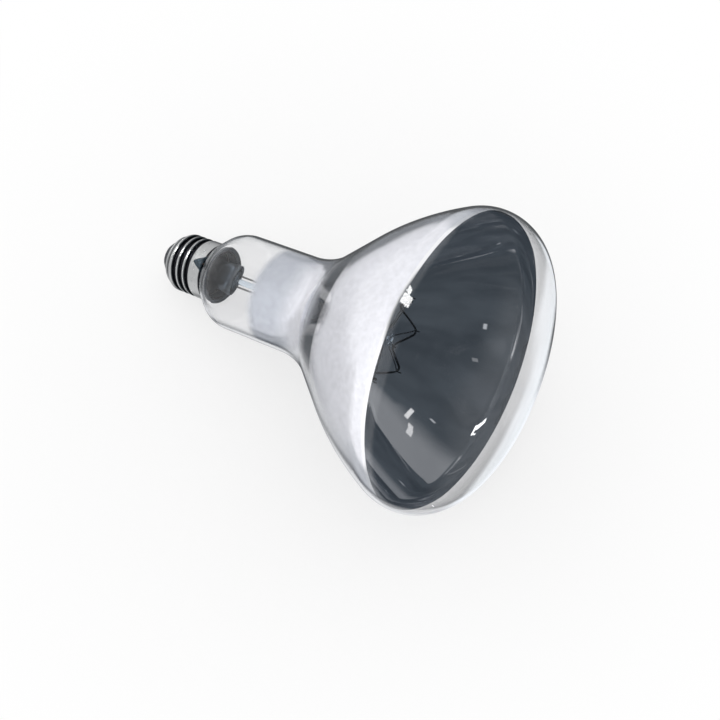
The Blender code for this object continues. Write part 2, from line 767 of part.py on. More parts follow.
def lamp_axis():
    """Lays the lamp down: its axis lies in the XZ plane, with the face towards +X."""
    tilt, location = resting_place()
    axis = bpy.data.objects.new("lamp_axis", None)
    axis.rotation_euler = (0.0, -(math.pi / 2.0 + tilt), 0.0)
    axis.location = location
    bpy.context.collection.objects.link(axis)
    return axis


def main():
    for old in list(bpy.data.objects):
        bpy.data.objects.remove(old, do_unlink=True)
    axis = lamp_axis()
    glass_envelope(axis)
    mirror_film(axis)
    stem(axis)
    exhaust_tube(axis)
    arbor(axis)
    filament(axis)
    filament_hooks(axis)
    inner_leads(axis)
    outer_leads(axis)
    screw_shell(axis)
    cement_ring(axis)
    insulator(axis)
    centre_contact(axis)
    centre_solder(axis)
    side_solder(axis)


main()
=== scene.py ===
"""Infrared heat bulb: the finished lamp, lying on a pale studio floor.

The file is laid out as an add-on and run as a script. Every piece is modelled on the lamp's own
axis: local Z is the station, which runs from the middle of the face back to the cap, and local X
points at the side that lies uppermost. Sizes are in metres.
"""

import json
import math

import bmesh
import bpy
from mathutils import Matrix, Vector, noise


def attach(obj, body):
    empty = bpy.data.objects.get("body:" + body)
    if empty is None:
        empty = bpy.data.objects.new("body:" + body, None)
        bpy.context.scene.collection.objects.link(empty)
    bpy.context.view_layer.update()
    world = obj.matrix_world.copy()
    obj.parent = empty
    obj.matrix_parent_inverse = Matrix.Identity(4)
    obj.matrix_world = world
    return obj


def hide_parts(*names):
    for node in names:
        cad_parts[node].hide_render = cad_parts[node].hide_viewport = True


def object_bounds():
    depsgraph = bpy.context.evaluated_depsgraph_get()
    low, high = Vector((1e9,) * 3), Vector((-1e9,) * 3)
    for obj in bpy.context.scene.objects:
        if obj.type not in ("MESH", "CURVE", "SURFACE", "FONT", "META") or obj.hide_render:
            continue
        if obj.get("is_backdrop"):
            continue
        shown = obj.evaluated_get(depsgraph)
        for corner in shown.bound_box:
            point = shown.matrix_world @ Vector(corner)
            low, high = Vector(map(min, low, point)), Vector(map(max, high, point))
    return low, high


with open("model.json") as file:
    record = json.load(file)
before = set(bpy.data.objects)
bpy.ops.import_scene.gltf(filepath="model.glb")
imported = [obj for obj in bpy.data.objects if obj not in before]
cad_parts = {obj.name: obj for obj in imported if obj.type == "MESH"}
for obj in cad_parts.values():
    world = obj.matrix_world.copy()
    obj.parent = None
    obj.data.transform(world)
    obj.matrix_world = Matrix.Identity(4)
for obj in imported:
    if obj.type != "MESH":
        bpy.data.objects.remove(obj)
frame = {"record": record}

bl_info = {
    "name": "Infrared heat bulb",
    "version": (1, 0, 0),
    "blender": (4, 5, 0),
    "location": "View3D > Sidebar > Heat bulb",
    "description": "Makes the glass, mirror, filament, cap and studio of a reflector heat bulb",
    "category": "Object",
}

MM = 0.001
TURN = 2.0 * math.pi
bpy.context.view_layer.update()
MOUNTS = {mount["name"]: mount for mount in frame["record"]["mounts"]}
CAP_WARDS = Vector(MOUNTS["screw_cap"]["axis"]).normalized()
RIM_CENTRE = Vector(MOUNTS["screw_cap"]["pos_m"])


# Sizes and colours that a user would change

def length(name, millimetres, description):
    return bpy.props.FloatProperty(
        name=name, description=description, default=millimetres * MM, unit="LENGTH", precision=5,
    )


def angle(name, degrees, description):
    return bpy.props.FloatProperty(
        name=name, description=description, default=math.radians(degrees), unit="ROTATION",
    )


def count(name, value, description):
    return bpy.props.IntProperty(name=name, description=description, default=value, min=1)


def colour(name, value, description):
    return bpy.props.FloatVectorProperty(
        name=name, description=description, default=value, subtype="COLOR", min=0.0, max=1.0,
    )


class BulbSizes(bpy.types.PropertyGroup):
    """Outline of the blown bulb and its mirror."""

    diameter: length("Bulb diameter", 125.0, "Widest diameter of the bulb")
    face_radius: length("Face radius", 145.0, "Radius of the domed face")
    roll_radius: length("Roll radius", 18.0, "Radius of the rolled edge round the face")
    roll_past: angle("Roll past widest", 22.0, "How far the rolled edge turns past the widest ring")
    reflector_radius: length("Reflector radius", 120.0, "Radius of the curved reflector")
    cone_angle: angle("Cone angle", 39.0, "Slope of the straight cone behind the reflector")
    cone_fillet: length("Cone fillet", 36.0, "Radius of the hollow turn from cone to neck")
    neck_diameter: length("Neck diameter", 42.5, "Diameter of the straight neck")
    neck_length: length("Neck length", 47.9, "Length of the straight neck")
    shoulder_angle: angle("Shoulder angle", 36.5, "Slope of the shoulder to the cap")
    shoulder_fillet: length("Shoulder fillet", 12.0, "Radius of the shoulder")
    seat_diameter: length("Seat diameter", 30.2, "Diameter where the bulb meets the cap")
    seat_fillet: length("Seat edge", 1.2, "Radius of the edge at the cap")
    wall: length("Glass wall", 0.9, "Thickness of the blown glass")
    throat_length: length("Throat length", 5.6, "Length of the tube inside the cap")
    throat_clearance: length("Throat clearance", 0.45, "Gap between the throat and the shell")
    mirror_ahead: length("Mirror front", 1.7, "How far the mirror runs ahead of the widest ring")
    mirror_neck: length("Mirror along neck", 26.6, "How far the mirror runs along the neck")
    mirror_skin: length("Mirror skin", 0.12, "Thickness of the mirror film")
    mirror_gap: length("Mirror gap", 0.25, "Gap between the glass and the mirror film")
    waviness: length("Waviness", 0.07, "Height of the slow waves that blowing leaves in the glass")


class CapSizes(bpy.types.PropertyGroup):
    """Screw cap, insulator, contact and solder."""

    major: length("Thread major diameter", 26.2, "Diameter over the crests of the thread")
    minor: length("Thread minor diameter", 24.1, "Diameter at the roots of the thread")
    pitch: length("Thread pitch", 3.629, "Advance of one turn of the thread")
    thread_length: length("Thread length", 11.8, "Length of the rolled thread")
    first_crest: length("First crest", 1.0, "Distance from the thread's start to its first crest")
    sheet: length("Sheet", 0.25, "Thickness of the shell's sheet")
    rim_band: length("Rim band", 5.8, "Length of the plain band ahead of the thread")
    lip_length: length("Lip length", 4.0, "Length of the lip behind the thread")
    lip_diameter: length("Lip diameter", 22.4, "Diameter of the lip's end")
    standoff: length("Standoff", 1.6, "Dark gap between the glass and the shell's rim")
    insulator_length: length("Insulator length", 5.5, "Height of the black glass cone")
    insulator_end: length("Insulator end", 13.0, "Diameter of the cone's end")
    insulator_bore: length("Insulator bore", 2.6, "Hole for the lead wire")
    insulator_flange: length("Insulator flange", 1.9, "Depth of the black glass inside the shell")
    contact_diameter: length("Contact diameter", 9.8, "Diameter of the centre contact")
    contact_thickness: length("Contact thickness", 0.9, "Thickness of the centre contact")
    contact_hole: length("Contact hole", 1.4, "Hole for the lead in the centre contact")
    drop_diameter: length("Solder drop diameter", 4.8, "Diameter of the drop on the contact")
    drop_height: length("Solder drop height", 1.1, "Height of the drop on the contact")
    solder_width: length("Solder width", 7.2, "Width of the side solder at the rim")
    solder_length: length("Solder length", 5.3, "Length of the side solder")
    solder_height: length("Solder height", 0.8, "Height of the side solder")
    solder_azimuth: angle("Solder azimuth", -17.0, "Where the side solder sits round the axis")
    cement_slot: angle("Cement slot", 12.0, "Opening in the cement for the side lead")


class MountSizes(bpy.types.PropertyGroup):
    """Glass mount, leads, hooks and crown filament."""

    stem_diameter: length("Stem diameter", 13.0, "Diameter of the stem's tube")
    stem_tube: length("Stem tube", 3.5, "Length of the stem's tube")
    flare_length: length("Flare length", 6.4, "Length of the stem's flare")
    press_width: length("Press width", 14.0, "Width of the flat press")
    press_thickness: length("Press thickness", 5.0, "Thickness of the flat press")
    press_length: length("Press length", 4.6, "Length of the flat press")
    exhaust_diameter: length("Exhaust diameter", 3.6, "Diameter of the pump tube")
    exhaust_wall: length("Exhaust wall", 0.7, "Wall of the pump tube")
    exhaust_length: length("Exhaust length", 16.0, "Length of the pump tube")
    arbor_diameter: length("Arbor diameter", 2.6, "Diameter of the glass rod")
    button_diameter: length("Button diameter", 8.0, "Diameter of the button that holds the hooks")
    button_length: length("Button length", 5.2, "Length of the button")
    arbor_nose: length("Arbor nose", 1.2, "How far the rod stands out of the button")
    crown_station: length("Crown station", 59.5, "Middle of the filament behind the face")
    crown_height: length("Crown height", 6.2, "Distance between front and rear hooks")
    crown_radius: length("Crown radius", 17.5, "Radius of the filament's crown")
    crown_hooks: count("Front hooks", 6, "Number of front hooks round the crown")
    crown_azimuth: angle("Crown azimuth", -15.5, "Where the crown is open, at the leads")
    end_angle: angle("End angle", 8.0, "Half of the crown's opening")
    coil_diameter: length("Coil diameter", 1.0, "Outer diameter of the coiled filament")
    coil_pitch: length("Coil pitch", 0.34, "Advance of one turn of the coil")
    coil_wire: length("Coil wire", 0.2, "Diameter of the tungsten wire")
    filament_bend: length("Filament bend", 2.4, "Radius of the filament's bend round a hook")
    hook_wire: length("Hook wire", 0.5, "Diameter of the hooks' wire")
    hook_bend: length("Hook bend", 1.2, "Radius of the hooks' bends")
    hook_tip: length("Hook tip", 1.2, "Length of the turned-up tip")
    lead_wire: length("Lead wire", 0.8, "Diameter of the inner leads")
    lead_spacing: length("Lead spacing", 5.0, "Distance between the leads at the press")
    lead_bend: length("Lead bend", 14.0, "Radius of the leads' bends")
    lead_foot: length("Lead foot", 9.0, "Straight length of a lead at the filament")
    lead_splay: length("Lead splay", 20.0, "Length over which the leads spread")
    outer_wire: length("Outer wire", 0.4, "Diameter of the outer leads")
    gap: length("Gap", 0.3, "Gap that keeps neighbouring pieces apart")


class Finishes(bpy.types.PropertyGroup):
    """Base colours of the finishes."""

    glass: colour("Glass", (0.985, 0.985, 0.99), "Clear hard glass of the bulb")
    stem: colour("Stem glass", (0.74, 0.83, 0.91), "Greyer glass of the mount")
    mirror: colour("Mirror", (0.91, 0.92, 0.94), "Aluminium film seen from inside the bulb")
    film: colour("Film", (0.91, 0.915, 0.95), "Aluminium film seen through the glass of the cone")
    neck_film: colour("Neck film", (0.54, 0.565, 0.615), "Thinner, bluish film on the neck")
    # Painted dark reflection: the dark ring where the film turns into the neck is painted into its
    # colour
    dark_ring_reflection: colour("Dark ring reflection", (0.04, 0.05, 0.065), "Dark ring where the film turns into the neck")
    nickel: colour("Nickel", (0.64, 0.64, 0.63), "Nickel plate of the screw shell")
    # Painted shade: the dark colour of the thread's grooves, the lip's start and a band at the rim
    thread_shade: colour("Thread shade", (0.02, 0.02, 0.025), "Dark film in the thread's grooves")
    black_glass: colour("Black glass", (0.022, 0.023, 0.027), "Insulator of the cap")
    brass: colour("Brass", (0.70, 0.55, 0.29), "Centre contact")
    solder: colour("Solder", (0.52, 0.53, 0.55), "Drop on the centre contact")
    burnt: colour("Burnt solder", (0.028, 0.042, 0.054), "Side solder, dark with flux")
    # Partly painted shade: the cement is coloured dark grey so that the gap at the rim reads as shade
    cement: colour("Cement", (0.080, 0.098, 0.120), "Basing cement")
    tungsten: colour("Tungsten", (0.085, 0.085, 0.09), "Coiled filament")
    molybdenum: colour("Molybdenum", (0.25, 0.25, 0.26), "Filament hooks")
    # Painted shade: the nickel leads are coloured far darker than nickel, for the shade inside the
    # bulb
    lead: colour("Lead wire", (0.20, 0.20, 0.20), "Nickel lead wires")
    copper: colour("Copper", (0.28, 0.20, 0.16), "Outer lead wires")
    floor: colour("Floor", (0.96, 0.96, 0.96), "Studio floor")


class HeatBulb(bpy.types.PropertyGroup):
    """All the sizes and colours of the lamp."""

    bulb: bpy.props.PointerProperty(type=BulbSizes, name="Bulb", description="Glass outline")
    cap: bpy.props.PointerProperty(type=CapSizes, name="Cap", description="Screw cap")
    mount: bpy.props.PointerProperty(type=MountSizes, name="Mount", description="Glass mount")
    finish: bpy.props.PointerProperty(type=Finishes, name="Finishes", description="Base colours")


# Outlines

FINE_STEP = math.radians(3.0)
FINE_LENGTH = 1.2 * MM
OUTLINE_STEP = 1.5 * MM
SHORTEST_TURN = math.radians(1.0)


def fine_steps(radius, turn):
    """Number of straight pieces that follow an arc closely."""
    return max(3, math.ceil(abs(turn) / FINE_STEP), math.ceil(abs(turn) * radius / FINE_LENGTH))


def arc(centre, radius, start, end):
    """Points of an arc; an angle is that of the outward normal, 0 at +Y and 90 degrees at +X."""
    steps = fine_steps(radius, end - start)
    points = []
    for step in range(steps + 1):
        turn = start + (end - start) * step / steps
        along, out = radius * math.sin(turn), radius * math.cos(turn)
        points.append(Vector((centre[0] + along, centre[1] + out)))
    return points


def rounded(corners, radii):
    """A polyline through the corners with each inner one turned into an arc of its radius."""
    corners = [Vector(corner) for corner in corners]
    points = [corners[0]]
    for before, corner, after, radius in zip(corners, corners[1:], corners[2:], radii):
        to_before = (before - corner).normalized()
        to_after = (after - corner).normalized()
        half = to_before.angle(to_after) / 2.0
        room = 0.49 * min((before - corner).length, (after - corner).length)
        cut = min(radius / math.tan(half), room)
        turn = math.pi - 2.0 * half
        if cut <= 0.0 or turn < SHORTEST_TURN:
            points.append(corner)
            continue
        radius = cut * math.tan(half)
        middle = corner + (to_before + to_after).normalized() * radius / math.sin(half)
        first = corner + to_before * cut - middle
        last = corner + to_after * cut - middle
        steps = fine_steps(radius, turn)
        for step in range(steps + 1):
            part = step / steps
            blend = first * math.sin((1.0 - part) * turn) + last * math.sin(part * turn)
            points.append(middle + blend / math.sin(turn))
    points.append(corners[-1])
    return points


def spaced(points, step):
    """The outline with extra points wherever two neighbours lie further apart than a step."""
    dense = [Vector(points[0])]
    for point in points[1:]:
        start = dense[-1]
        pieces = max(1, math.ceil((Vector(point) - start).length / step))
        dense += [start.lerp(Vector(point), piece / pieces) for piece in range(1, pieces + 1)]
    return dense


def offset(points, distance):
    """The outline moved inwards by a distance, on the side of the axis."""
    moved = []
    for index, point in enumerate(points):
        along = points[min(index + 1, len(points) - 1)] - points[max(index - 1, 0)]
        along.normalize()
        radius = max(point[1] - along[0] * distance, 0.0)
        moved.append(Vector((point[0] + along[1] * distance, radius)))
    return moved


def cut_outline(points, start, end):
    """The stretch of an outline between two stations, with a point at each end."""
    def at(station):
        for one, other in zip(points, points[1:]):
            if one[0] <= station <= other[0]:
                return one.lerp(other, (station - one[0]) / max(other[0] - one[0], 1e-9))
        return points[-1]
    inner = [point for point in points if start < point[0] < end]
    return [at(start)] + inner + [at(end)]


class Lamp:
    """Stations, radii and the outline that follow from the sizes."""

    def __init__(self, context):
        sizes = context.scene.heat_bulb
        self.finish = sizes.finish
        self.bulb, self.cap, self.mount = sizes.bulb, sizes.cap, sizes.mount
        bulb, cap, mount = self.bulb, self.cap, self.mount
        front = self.front_outline()
        neck = bulb.neck_diameter / 2.0
        self.cone_corner = front[-1][0] + (front[-1][1] - neck) / math.tan(bulb.cone_angle)
        shoulder = self.cone_corner + bulb.neck_length
        seat_radius = bulb.seat_diameter / 2.0
        self.seat = shoulder + (neck - seat_radius) / math.tan(bulb.shoulder_angle)
        self.throat_radius = cap.minor / 2.0 - cap.sheet - bulb.throat_clearance
        self.throat = self.seat + bulb.seat_fillet / 4.0
        self.throat_end = self.throat + bulb.throat_length
        corners = [
            front[-1], (self.cone_corner, neck), (shoulder, neck), (self.seat, seat_radius),
            (self.throat, self.throat_radius), (self.throat_end, self.throat_radius),
        ]
        turns = [bulb.cone_fillet, bulb.shoulder_fillet, bulb.seat_fillet, bulb.seat_fillet / 2.0]
        self.outline = spaced(front + rounded(corners, turns)[1:], OUTLINE_STEP)
        self.rim = self.throat + cap.standoff
        self.thread_start = self.rim + cap.rim_band
        self.thread_end = self.thread_start + cap.thread_length
        self.shell_end = self.thread_end + cap.lip_length
        self.insulator_end = self.shell_end + cap.insulator_length
        self.contact_face = self.insulator_end + mount.gap + cap.contact_thickness
        self.flare_rim = self.throat_end - mount.gap
        self.flare_radius = self.throat_radius - bulb.wall - mount.gap
        self.tube_start = self.flare_rim - mount.flare_length
        self.press_start = self.tube_start - mount.stem_tube
        self.press_face = self.press_start - mount.press_length
        self.hollow_end = self.press_start - mount.press_length / 5.0
        self.wrap = (mount.coil_diameter + mount.hook_wire) / 2.0 + mount.gap
        self.front_hook = mount.crown_station - mount.crown_height / 2.0
        self.rear_hook = mount.crown_station + mount.crown_height / 2.0
        self.hook_step = math.pi / mount.crown_hooks
        self.across = mount.crown_azimuth + math.pi / 2.0
        upmost = Vector((CAP_WARDS.z, 0.0, -CAP_WARDS.x))
        turn = Matrix((upmost, CAP_WARDS.cross(upmost), CAP_WARDS)).transposed()
        self.axis = Matrix.Translation(RIM_CENTRE - CAP_WARDS * self.rim) @ turn.to_4x4()

    def front_outline(self):
        """Face, rolled edge and curved reflector: three tangent arcs."""
        bulb = self.bulb
        half = bulb.diameter / 2.0
        reach = bulb.face_radius - bulb.roll_radius
        self.widest = bulb.face_radius - math.sqrt(reach ** 2 - (half - bulb.roll_radius) ** 2)
        roll_centre = (self.widest, half - bulb.roll_radius)
        touch = -math.acos(roll_centre[1] / reach)
        drop = bulb.reflector_radius - bulb.roll_radius
        behind = (
            roll_centre[0] - drop * math.sin(bulb.roll_past),
            roll_centre[1] - drop * math.cos(bulb.roll_past),
        )
        face = arc((bulb.face_radius, 0.0), bulb.face_radius, -math.pi / 2.0, touch)
        face[0] = Vector((0.0, 0.0))
        roll = arc(roll_centre, bulb.roll_radius, touch, bulb.roll_past)
        curve = arc(behind, bulb.reflector_radius, bulb.roll_past, bulb.cone_angle)
        return face + roll[1:] + curve[1:]


# Node trees

class Number:
    """A number in a node tree that takes plain arithmetic."""

    def __init__(self, graph, socket):
        self.graph, self.socket = graph, socket

    def __add__(self, other):
        return self.graph.maths("ADD", self, other)

    def __sub__(self, other):
        return self.graph.maths("SUBTRACT", self, other)

    def __rsub__(self, other):
        return self.graph.maths("SUBTRACT", other, self)

    def __mul__(self, other):
        return self.graph.maths("MULTIPLY", self, other)

    def __truediv__(self, other):
        return self.graph.maths("DIVIDE", self, other)

    def __abs__(self):
        return self.graph.maths("ABSOLUTE", self)

    __radd__ = __add__
    __rmul__ = __mul__


class Graph:
    """Adds nodes to a tree and fills their sockets with values, numbers or other sockets."""

    def __init__(self, tree):
        self.tree = tree

    def fill(self, socket, value):
        """Links a socket or sets its value; a colour of three parts is made opaque."""
        value = value.socket if isinstance(value, Number) else value
        if isinstance(value, bpy.types.NodeSocket):
            self.tree.links.new(value, socket)
        elif value is not None:
            opaque = socket.type == "RGBA" and len(value) == 3
            socket.default_value = (*value, 1.0) if opaque else value

    def node(self, kind, *inputs, named=None, **settings):
        """A node with its settings, its first inputs in order and some inputs by name."""
        made = self.tree.nodes.new(kind)
        for key, value in settings.items():
            setattr(made, key, value)
        for socket, value in zip(made.inputs, inputs):
            self.fill(socket, value)
        for key, value in (named or {}).items():
            self.fill(made.inputs[key], value)
        return made

    def maths(self, operation, *values, clamp=False):
        made = self.node("ShaderNodeMath", *values, operation=operation, use_clamp=clamp)
        return Number(self, made.outputs[0])

    def smooth(self, value):
        """0 below 0, 1 above 1 and a soft step between."""
        value = self.maths("ADD", value, 0.0, clamp=True)
        return value * value * (3.0 - 2.0 * value)

    def split(self, vector):
        parts = self.node("ShaderNodeSeparateXYZ", vector).outputs
        return [Number(self, part) for part in parts]

    def joined(self, *parts):
        return self.node("ShaderNodeCombineXYZ", *parts).outputs[0]

    def noise(self, scale, detail=3.0, vector=None, roughness=0.5):
        """Cloudy noise from 0 to 1; scale is in waves per metre."""
        made = self.node("ShaderNodeTexNoise", named={
            "Vector": vector or self.place, "Scale": scale, "Detail": detail, "Roughness": roughness,
        })
        return Number(self, made.outputs["Fac"])

    def between(self, value, low, high):
        """0 at low, 1 at high, soft in between."""
        return self.smooth((value - low) / (high - low))

    def mix(self, factor, one, other):
        """One colour at 0, the other at 1; the numbers are those of the node's colour sockets."""
        made = self.node("ShaderNodeMix", data_type="RGBA", clamp_factor=True)
        for index, value in ((0, factor), (6, one), (7, other)):
            self.fill(made.inputs[index], value)
        return made.outputs[2]

    def scaled(self, vector, factor):
        """A vector made longer or shorter, or a colour made lighter or darker."""
        made = self.node("ShaderNodeVectorMath", vector, operation="SCALE", named={"Scale": factor})
        return made.outputs[0]


class Finish(Graph):
    """A material whose colour, roughness and relief come from nodes on the lamp's own axis."""

    STREAK_RADIUS = 13.0 * MM

    def __init__(self, name, lamp, **constants):
        self.material = bpy.data.materials.new(name)
        self.material.use_nodes = True
        super().__init__(self.material.node_tree)
        self.shader = self.tree.nodes["Principled BSDF"]
        self.set(**constants)
        place = self.node("ShaderNodeTexCoord").outputs["Object"]
        inverse = lamp.axis.inverted()
        onto_axis = {"Location": inverse.translation, "Rotation": inverse.to_euler()}
        self.place = self.node("ShaderNodeMapping", place, named=onto_axis).outputs[0]
        x, y, self.station = self.split(self.place)
        self.azimuth = self.maths("ARCTAN2", y, x)
        self.radius = self.maths("SQRT", x * x + y * y)

    def set(self, **values):
        """Fills the shader's inputs; an underscore stands for a space in an input's name."""
        for key, value in values.items():
            self.fill(self.shader.inputs[key.replace("_", " ")], value)

    def streaks(self, around, along):
        """Noise drawn out round the axis or along it; both are in waves per metre."""
        arc_length = self.azimuth * self.STREAK_RADIUS
        vector = self.joined(self.radius * around, arc_length * around, self.station * along)
        return self.noise(1.0, 2.0, vector)

    def bump(self, height, distance):
        """Relief of a height from 0 to 1 times a distance."""
        made = self.node("ShaderNodeBump", named={"Height": height, "Distance": distance})
        self.set(Normal=made.outputs[0])


def shade(tint, factor):
    """A colour made lighter or darker, up to white."""
    return tuple(min(part * factor, 1.0) for part in tint)


class Shape(Graph):
    """A geometry tree with named inputs; it ends in Realize Instances and Set Material."""

    KINDS = {float: "NodeSocketFloat", int: "NodeSocketInt"}

    def __init__(self, name, **inputs):
        tree = bpy.data.node_groups.new(name, "GeometryNodeTree")
        super().__init__(tree)
        tree.interface.new_socket("Geometry", in_out="INPUT", socket_type="NodeSocketGeometry")
        tree.interface.new_socket("Geometry", in_out="OUTPUT", socket_type="NodeSocketGeometry")
        self.values = inputs
        for key, value in inputs.items():
            tree.interface.new_socket(key, in_out="INPUT", socket_type=self.KINDS[type(value)])
        tree.interface.new_socket("Material", in_out="INPUT", socket_type="NodeSocketMaterial")
        self.inputs = self.node("NodeGroupInput").outputs

    def value(self, name):
        return Number(self, self.inputs[name])

    def wire(self, path):
        """A round wire along a curve, closed at its ends."""
        ring = self.node("GeometryNodeCurvePrimitiveCircle", self.inputs["sides"],
                         named={"Radius": self.inputs["wire_radius"]}).outputs[0]
        made = self.node("GeometryNodeCurveToMesh", path, ring, named={"Fill Caps": True})
        return made.outputs[0]

    def end(self, geometry):
        real = self.node("GeometryNodeRealizeInstances", geometry).outputs[0]
        done = self.node("GeometryNodeSetMaterial", real, named={"Material": self.inputs["Material"]})
        self.node("NodeGroupOutput", done.outputs[0])

    def apply(self, piece, material):
        """The plain mesh that the tree makes of the piece's geometry."""
        modifier = piece.modifiers.new(self.tree.name, "NODES")
        modifier.node_group = self.tree
        for item in self.tree.interface.items_tree:
            if item.in_out == "INPUT" and item.name in self.values:
                modifier[item.identifier] = self.values[item.name]
            if item.in_out == "INPUT" and item.name == "Material":
                modifier[item.identifier] = material
        return plain_mesh(piece)


def plain_mesh(piece):
    """The evaluated mesh of an object, which is then removed."""
    bpy.context.view_layer.update()
    graph = bpy.context.evaluated_depsgraph_get()
    mesh = bpy.data.meshes.new_from_object(piece.evaluated_get(graph), depsgraph=graph)
    bpy.data.objects.remove(piece, do_unlink=True)
    return mesh


# Meshes

# Steps round the axis of each turned or lofted piece, and what counts as one and the same point
STEPS_ROUND = {
    "bulb": 240, "mirror": 320, "stem": 48, "pump_tube": 40, "glass_rod": 48,
    "cement": 120, "insulator": 96, "contact": 64, "solder_drop": 48,
}
SAME_PLACE = 1e-8
ON_AXIS = 1e-7
WIRE_RESOLUTION = 4


def linked(name, data):
    """A new object in the scene."""
    piece = bpy.data.objects.new(name, data)
    bpy.context.collection.objects.link(piece)
    return piece


def polar(radius, azimuth, station):
    return Vector((radius * math.cos(azimuth), radius * math.sin(azimuth), station))


def mesh_of(bm, name):
    bmesh.ops.remove_doubles(bm, verts=bm.verts, dist=SAME_PLACE)
    bmesh.ops.recalc_face_normals(bm, faces=bm.faces)
    mesh = bpy.data.meshes.new(name)
    bm.to_mesh(mesh)
    bm.free()
    return mesh


def lofted(name, rings):
    """A skin over rings of equally many points, with flat ends."""
    bm = bmesh.new()
    loops = [[bm.verts.new(point) for point in ring] for ring in rings]
    for one, other in zip(loops, loops[1:]):
        for index in range(len(one)):
            after = (index + 1) % len(one)
            bm.faces.new((one[index], one[after], other[after], other[index]))
    bm.faces.new(loops[0])
    bm.faces.new(loops[-1])
    return mesh_of(bm, name)


def lathed(name, outline, start=0.0, sweep=TURN):
    """A closed outline of (station, radius) points, turned about the axis wholly or in part."""
    segments, whole = STEPS_ROUND[name], sweep == TURN
    turns = [start + sweep * index / segments for index in range(segments + (0 if whole else 1))]
    bm = bmesh.new()
    rings = []
    for station, radius in outline:
        if radius < ON_AXIS and whole:
            rings.append([bm.verts.new((0.0, 0.0, station))] * segments)
        else:
            rings.append([bm.verts.new(polar(radius, turn, station)) for turn in turns])
    for one, other in zip(rings, rings[1:] + rings[:1]):
        for index in range(segments):
            after = (index + 1) % len(turns)
            corners = list(dict.fromkeys((one[index], one[after], other[after], other[index])))
            if len(corners) > 2:
                bm.faces.new(corners)
    if not whole:
        bm.faces.new([ring[0] for ring in rings])
        bm.faces.new([ring[-1] for ring in rings])
    return mesh_of(bm, name)


def shaken(mesh, height, wave):
    """Moves each point along its normal by slow noise of a height and a wavelength."""
    mesh.update()
    normals = [vertex.normal.copy() for vertex in mesh.vertices]
    for vertex, normal in zip(mesh.vertices, normals):
        vertex.co += normal * height * noise.noise(vertex.co / wave)
    return mesh


def swollen(mesh, height, wave):
    """Moves each point away from the axis by slow noise, the same for both skins of a wall."""
    for vertex in mesh.vertices:
        out = Vector((vertex.co.x, vertex.co.y, 0.0))
        if out.length > 1e-6:
            vertex.co += out.normalized() * height * noise.noise(vertex.co / wave)
    return mesh


def curve_through(name, points):
    """A curve object through points, to be thickened or read by a geometry tree."""
    curve = bpy.data.curves.new(name, "CURVE")
    curve.dimensions = "3D"
    spline = curve.splines.new("POLY")
    spline.points.add(len(points) - 1)
    for target, point in zip(spline.points, points):
        target.co = (*point, 1.0)
    return linked(name, curve)


def wired(name, points, diameter):
    """A round wire along a smooth polyline, with flat ends."""
    piece = curve_through(name, points)
    piece.data.bevel_depth = diameter / 2.0
    piece.data.bevel_resolution = WIRE_RESOLUTION
    piece.data.use_fill_caps = True
    return plain_mesh(piece)


def finish_piece(lamp, mesh, name, finishes, slot, nodes, sharp=35.0):
    """Puts a mesh on the lamp's axis as a piece that stands for CAD nodes; sharp is in degrees."""
    piece = linked(name, mesh)
    mesh.transform(lamp.axis)
    mesh.materials.clear()
    for finish in finishes:
        mesh.materials.append(finish.material)
    mesh.shade_smooth()
    mesh.set_sharp_from_angle(angle=math.radians(sharp))
    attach(piece, "root")
    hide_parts(*nodes)


# Finishes

# Where the film changes: the ring of painted dark reflection starts ahead of the cone's corner and
# fades out behind its own front, the bluish neck starts behind that front, and the film thins out
# before its last edge.
RING_AHEAD = 24.8 * MM
RING_EDGE = 1.2 * MM
RING_FADE = (7.0 * MM, 16.5 * MM)
NECK_BEHIND = 19.0 * MM
NECK_BLEND = 18.0 * MM
THIN_BEFORE = (6.5 * MM, 0.3 * MM)
# A painted highlight: the near-white band on the film's front edge, ahead of the widest ring
EDGE_HIGHLIGHT_COLOUR = (0.98, 0.98, 0.985)

# Roughness, grain in waves per metre and relief of the plain metals
METALS = {
    "tungsten": (0.4, 2500.0, 0.01 * MM),
    "molybdenum": (0.35, 1800.0, 0.01 * MM),
    "nickel_wire": (0.28, 900.0, 0.01 * MM),
    "copper_wire": (0.32, 900.0, 0.01 * MM),
    "tin_solder": (0.34, 700.0, 0.05 * MM),
    "contact_brass": (0.3, 500.0, 0.02 * MM),
}


def clear_glass(lamp):
    """Hard glass, hardly tinted, with the faint waves and streaks that blowing leaves."""
    made = Finish("clear_glass", lamp, IOR=1.48, Transmission_Weight=1.0)
    tint = lamp.finish.glass
    made.set(Base_Color=made.mix(made.noise(45.0), tint, shade(tint, 0.985)))
    made.set(Roughness=made.noise(160.0, 5.0) * 0.012)
    made.bump(made.noise(30.0, 2.0), 0.03 * MM)
    return made


def stem_glass(lamp):
    """Greyer glass of the mount, faintly mottled, with a frosted tube behind the press's face."""
    made = Finish("stem_glass", lamp, IOR=1.54, Transmission_Weight=1.0)
    tint = lamp.finish.stem
    made.set(Base_Color=made.mix(made.noise(160.0), tint, shade(tint, 0.9)))
    frosted = made.between(made.station, lamp.press_face - MM, lamp.press_face + MM)
    made.set(Roughness=made.noise(900.0) * 0.05 + frosted * 0.42)
    made.bump(made.noise(220.0, 2.0), 0.02 * MM)
    return made


def mirror_fade(made, lamp):
    """Opacity of the film, which thins out along the neck behind its last stretch."""
    last = lamp.cone_corner + lamp.bulb.mirror_neck
    waver = (made.noise(60.0) - 0.5) * 2.0 * MM
    thin_from, thin_to = (last - distance for distance in THIN_BEFORE)
    made.set(Alpha=1.0 - made.between(made.station + waver, thin_from, thin_to))


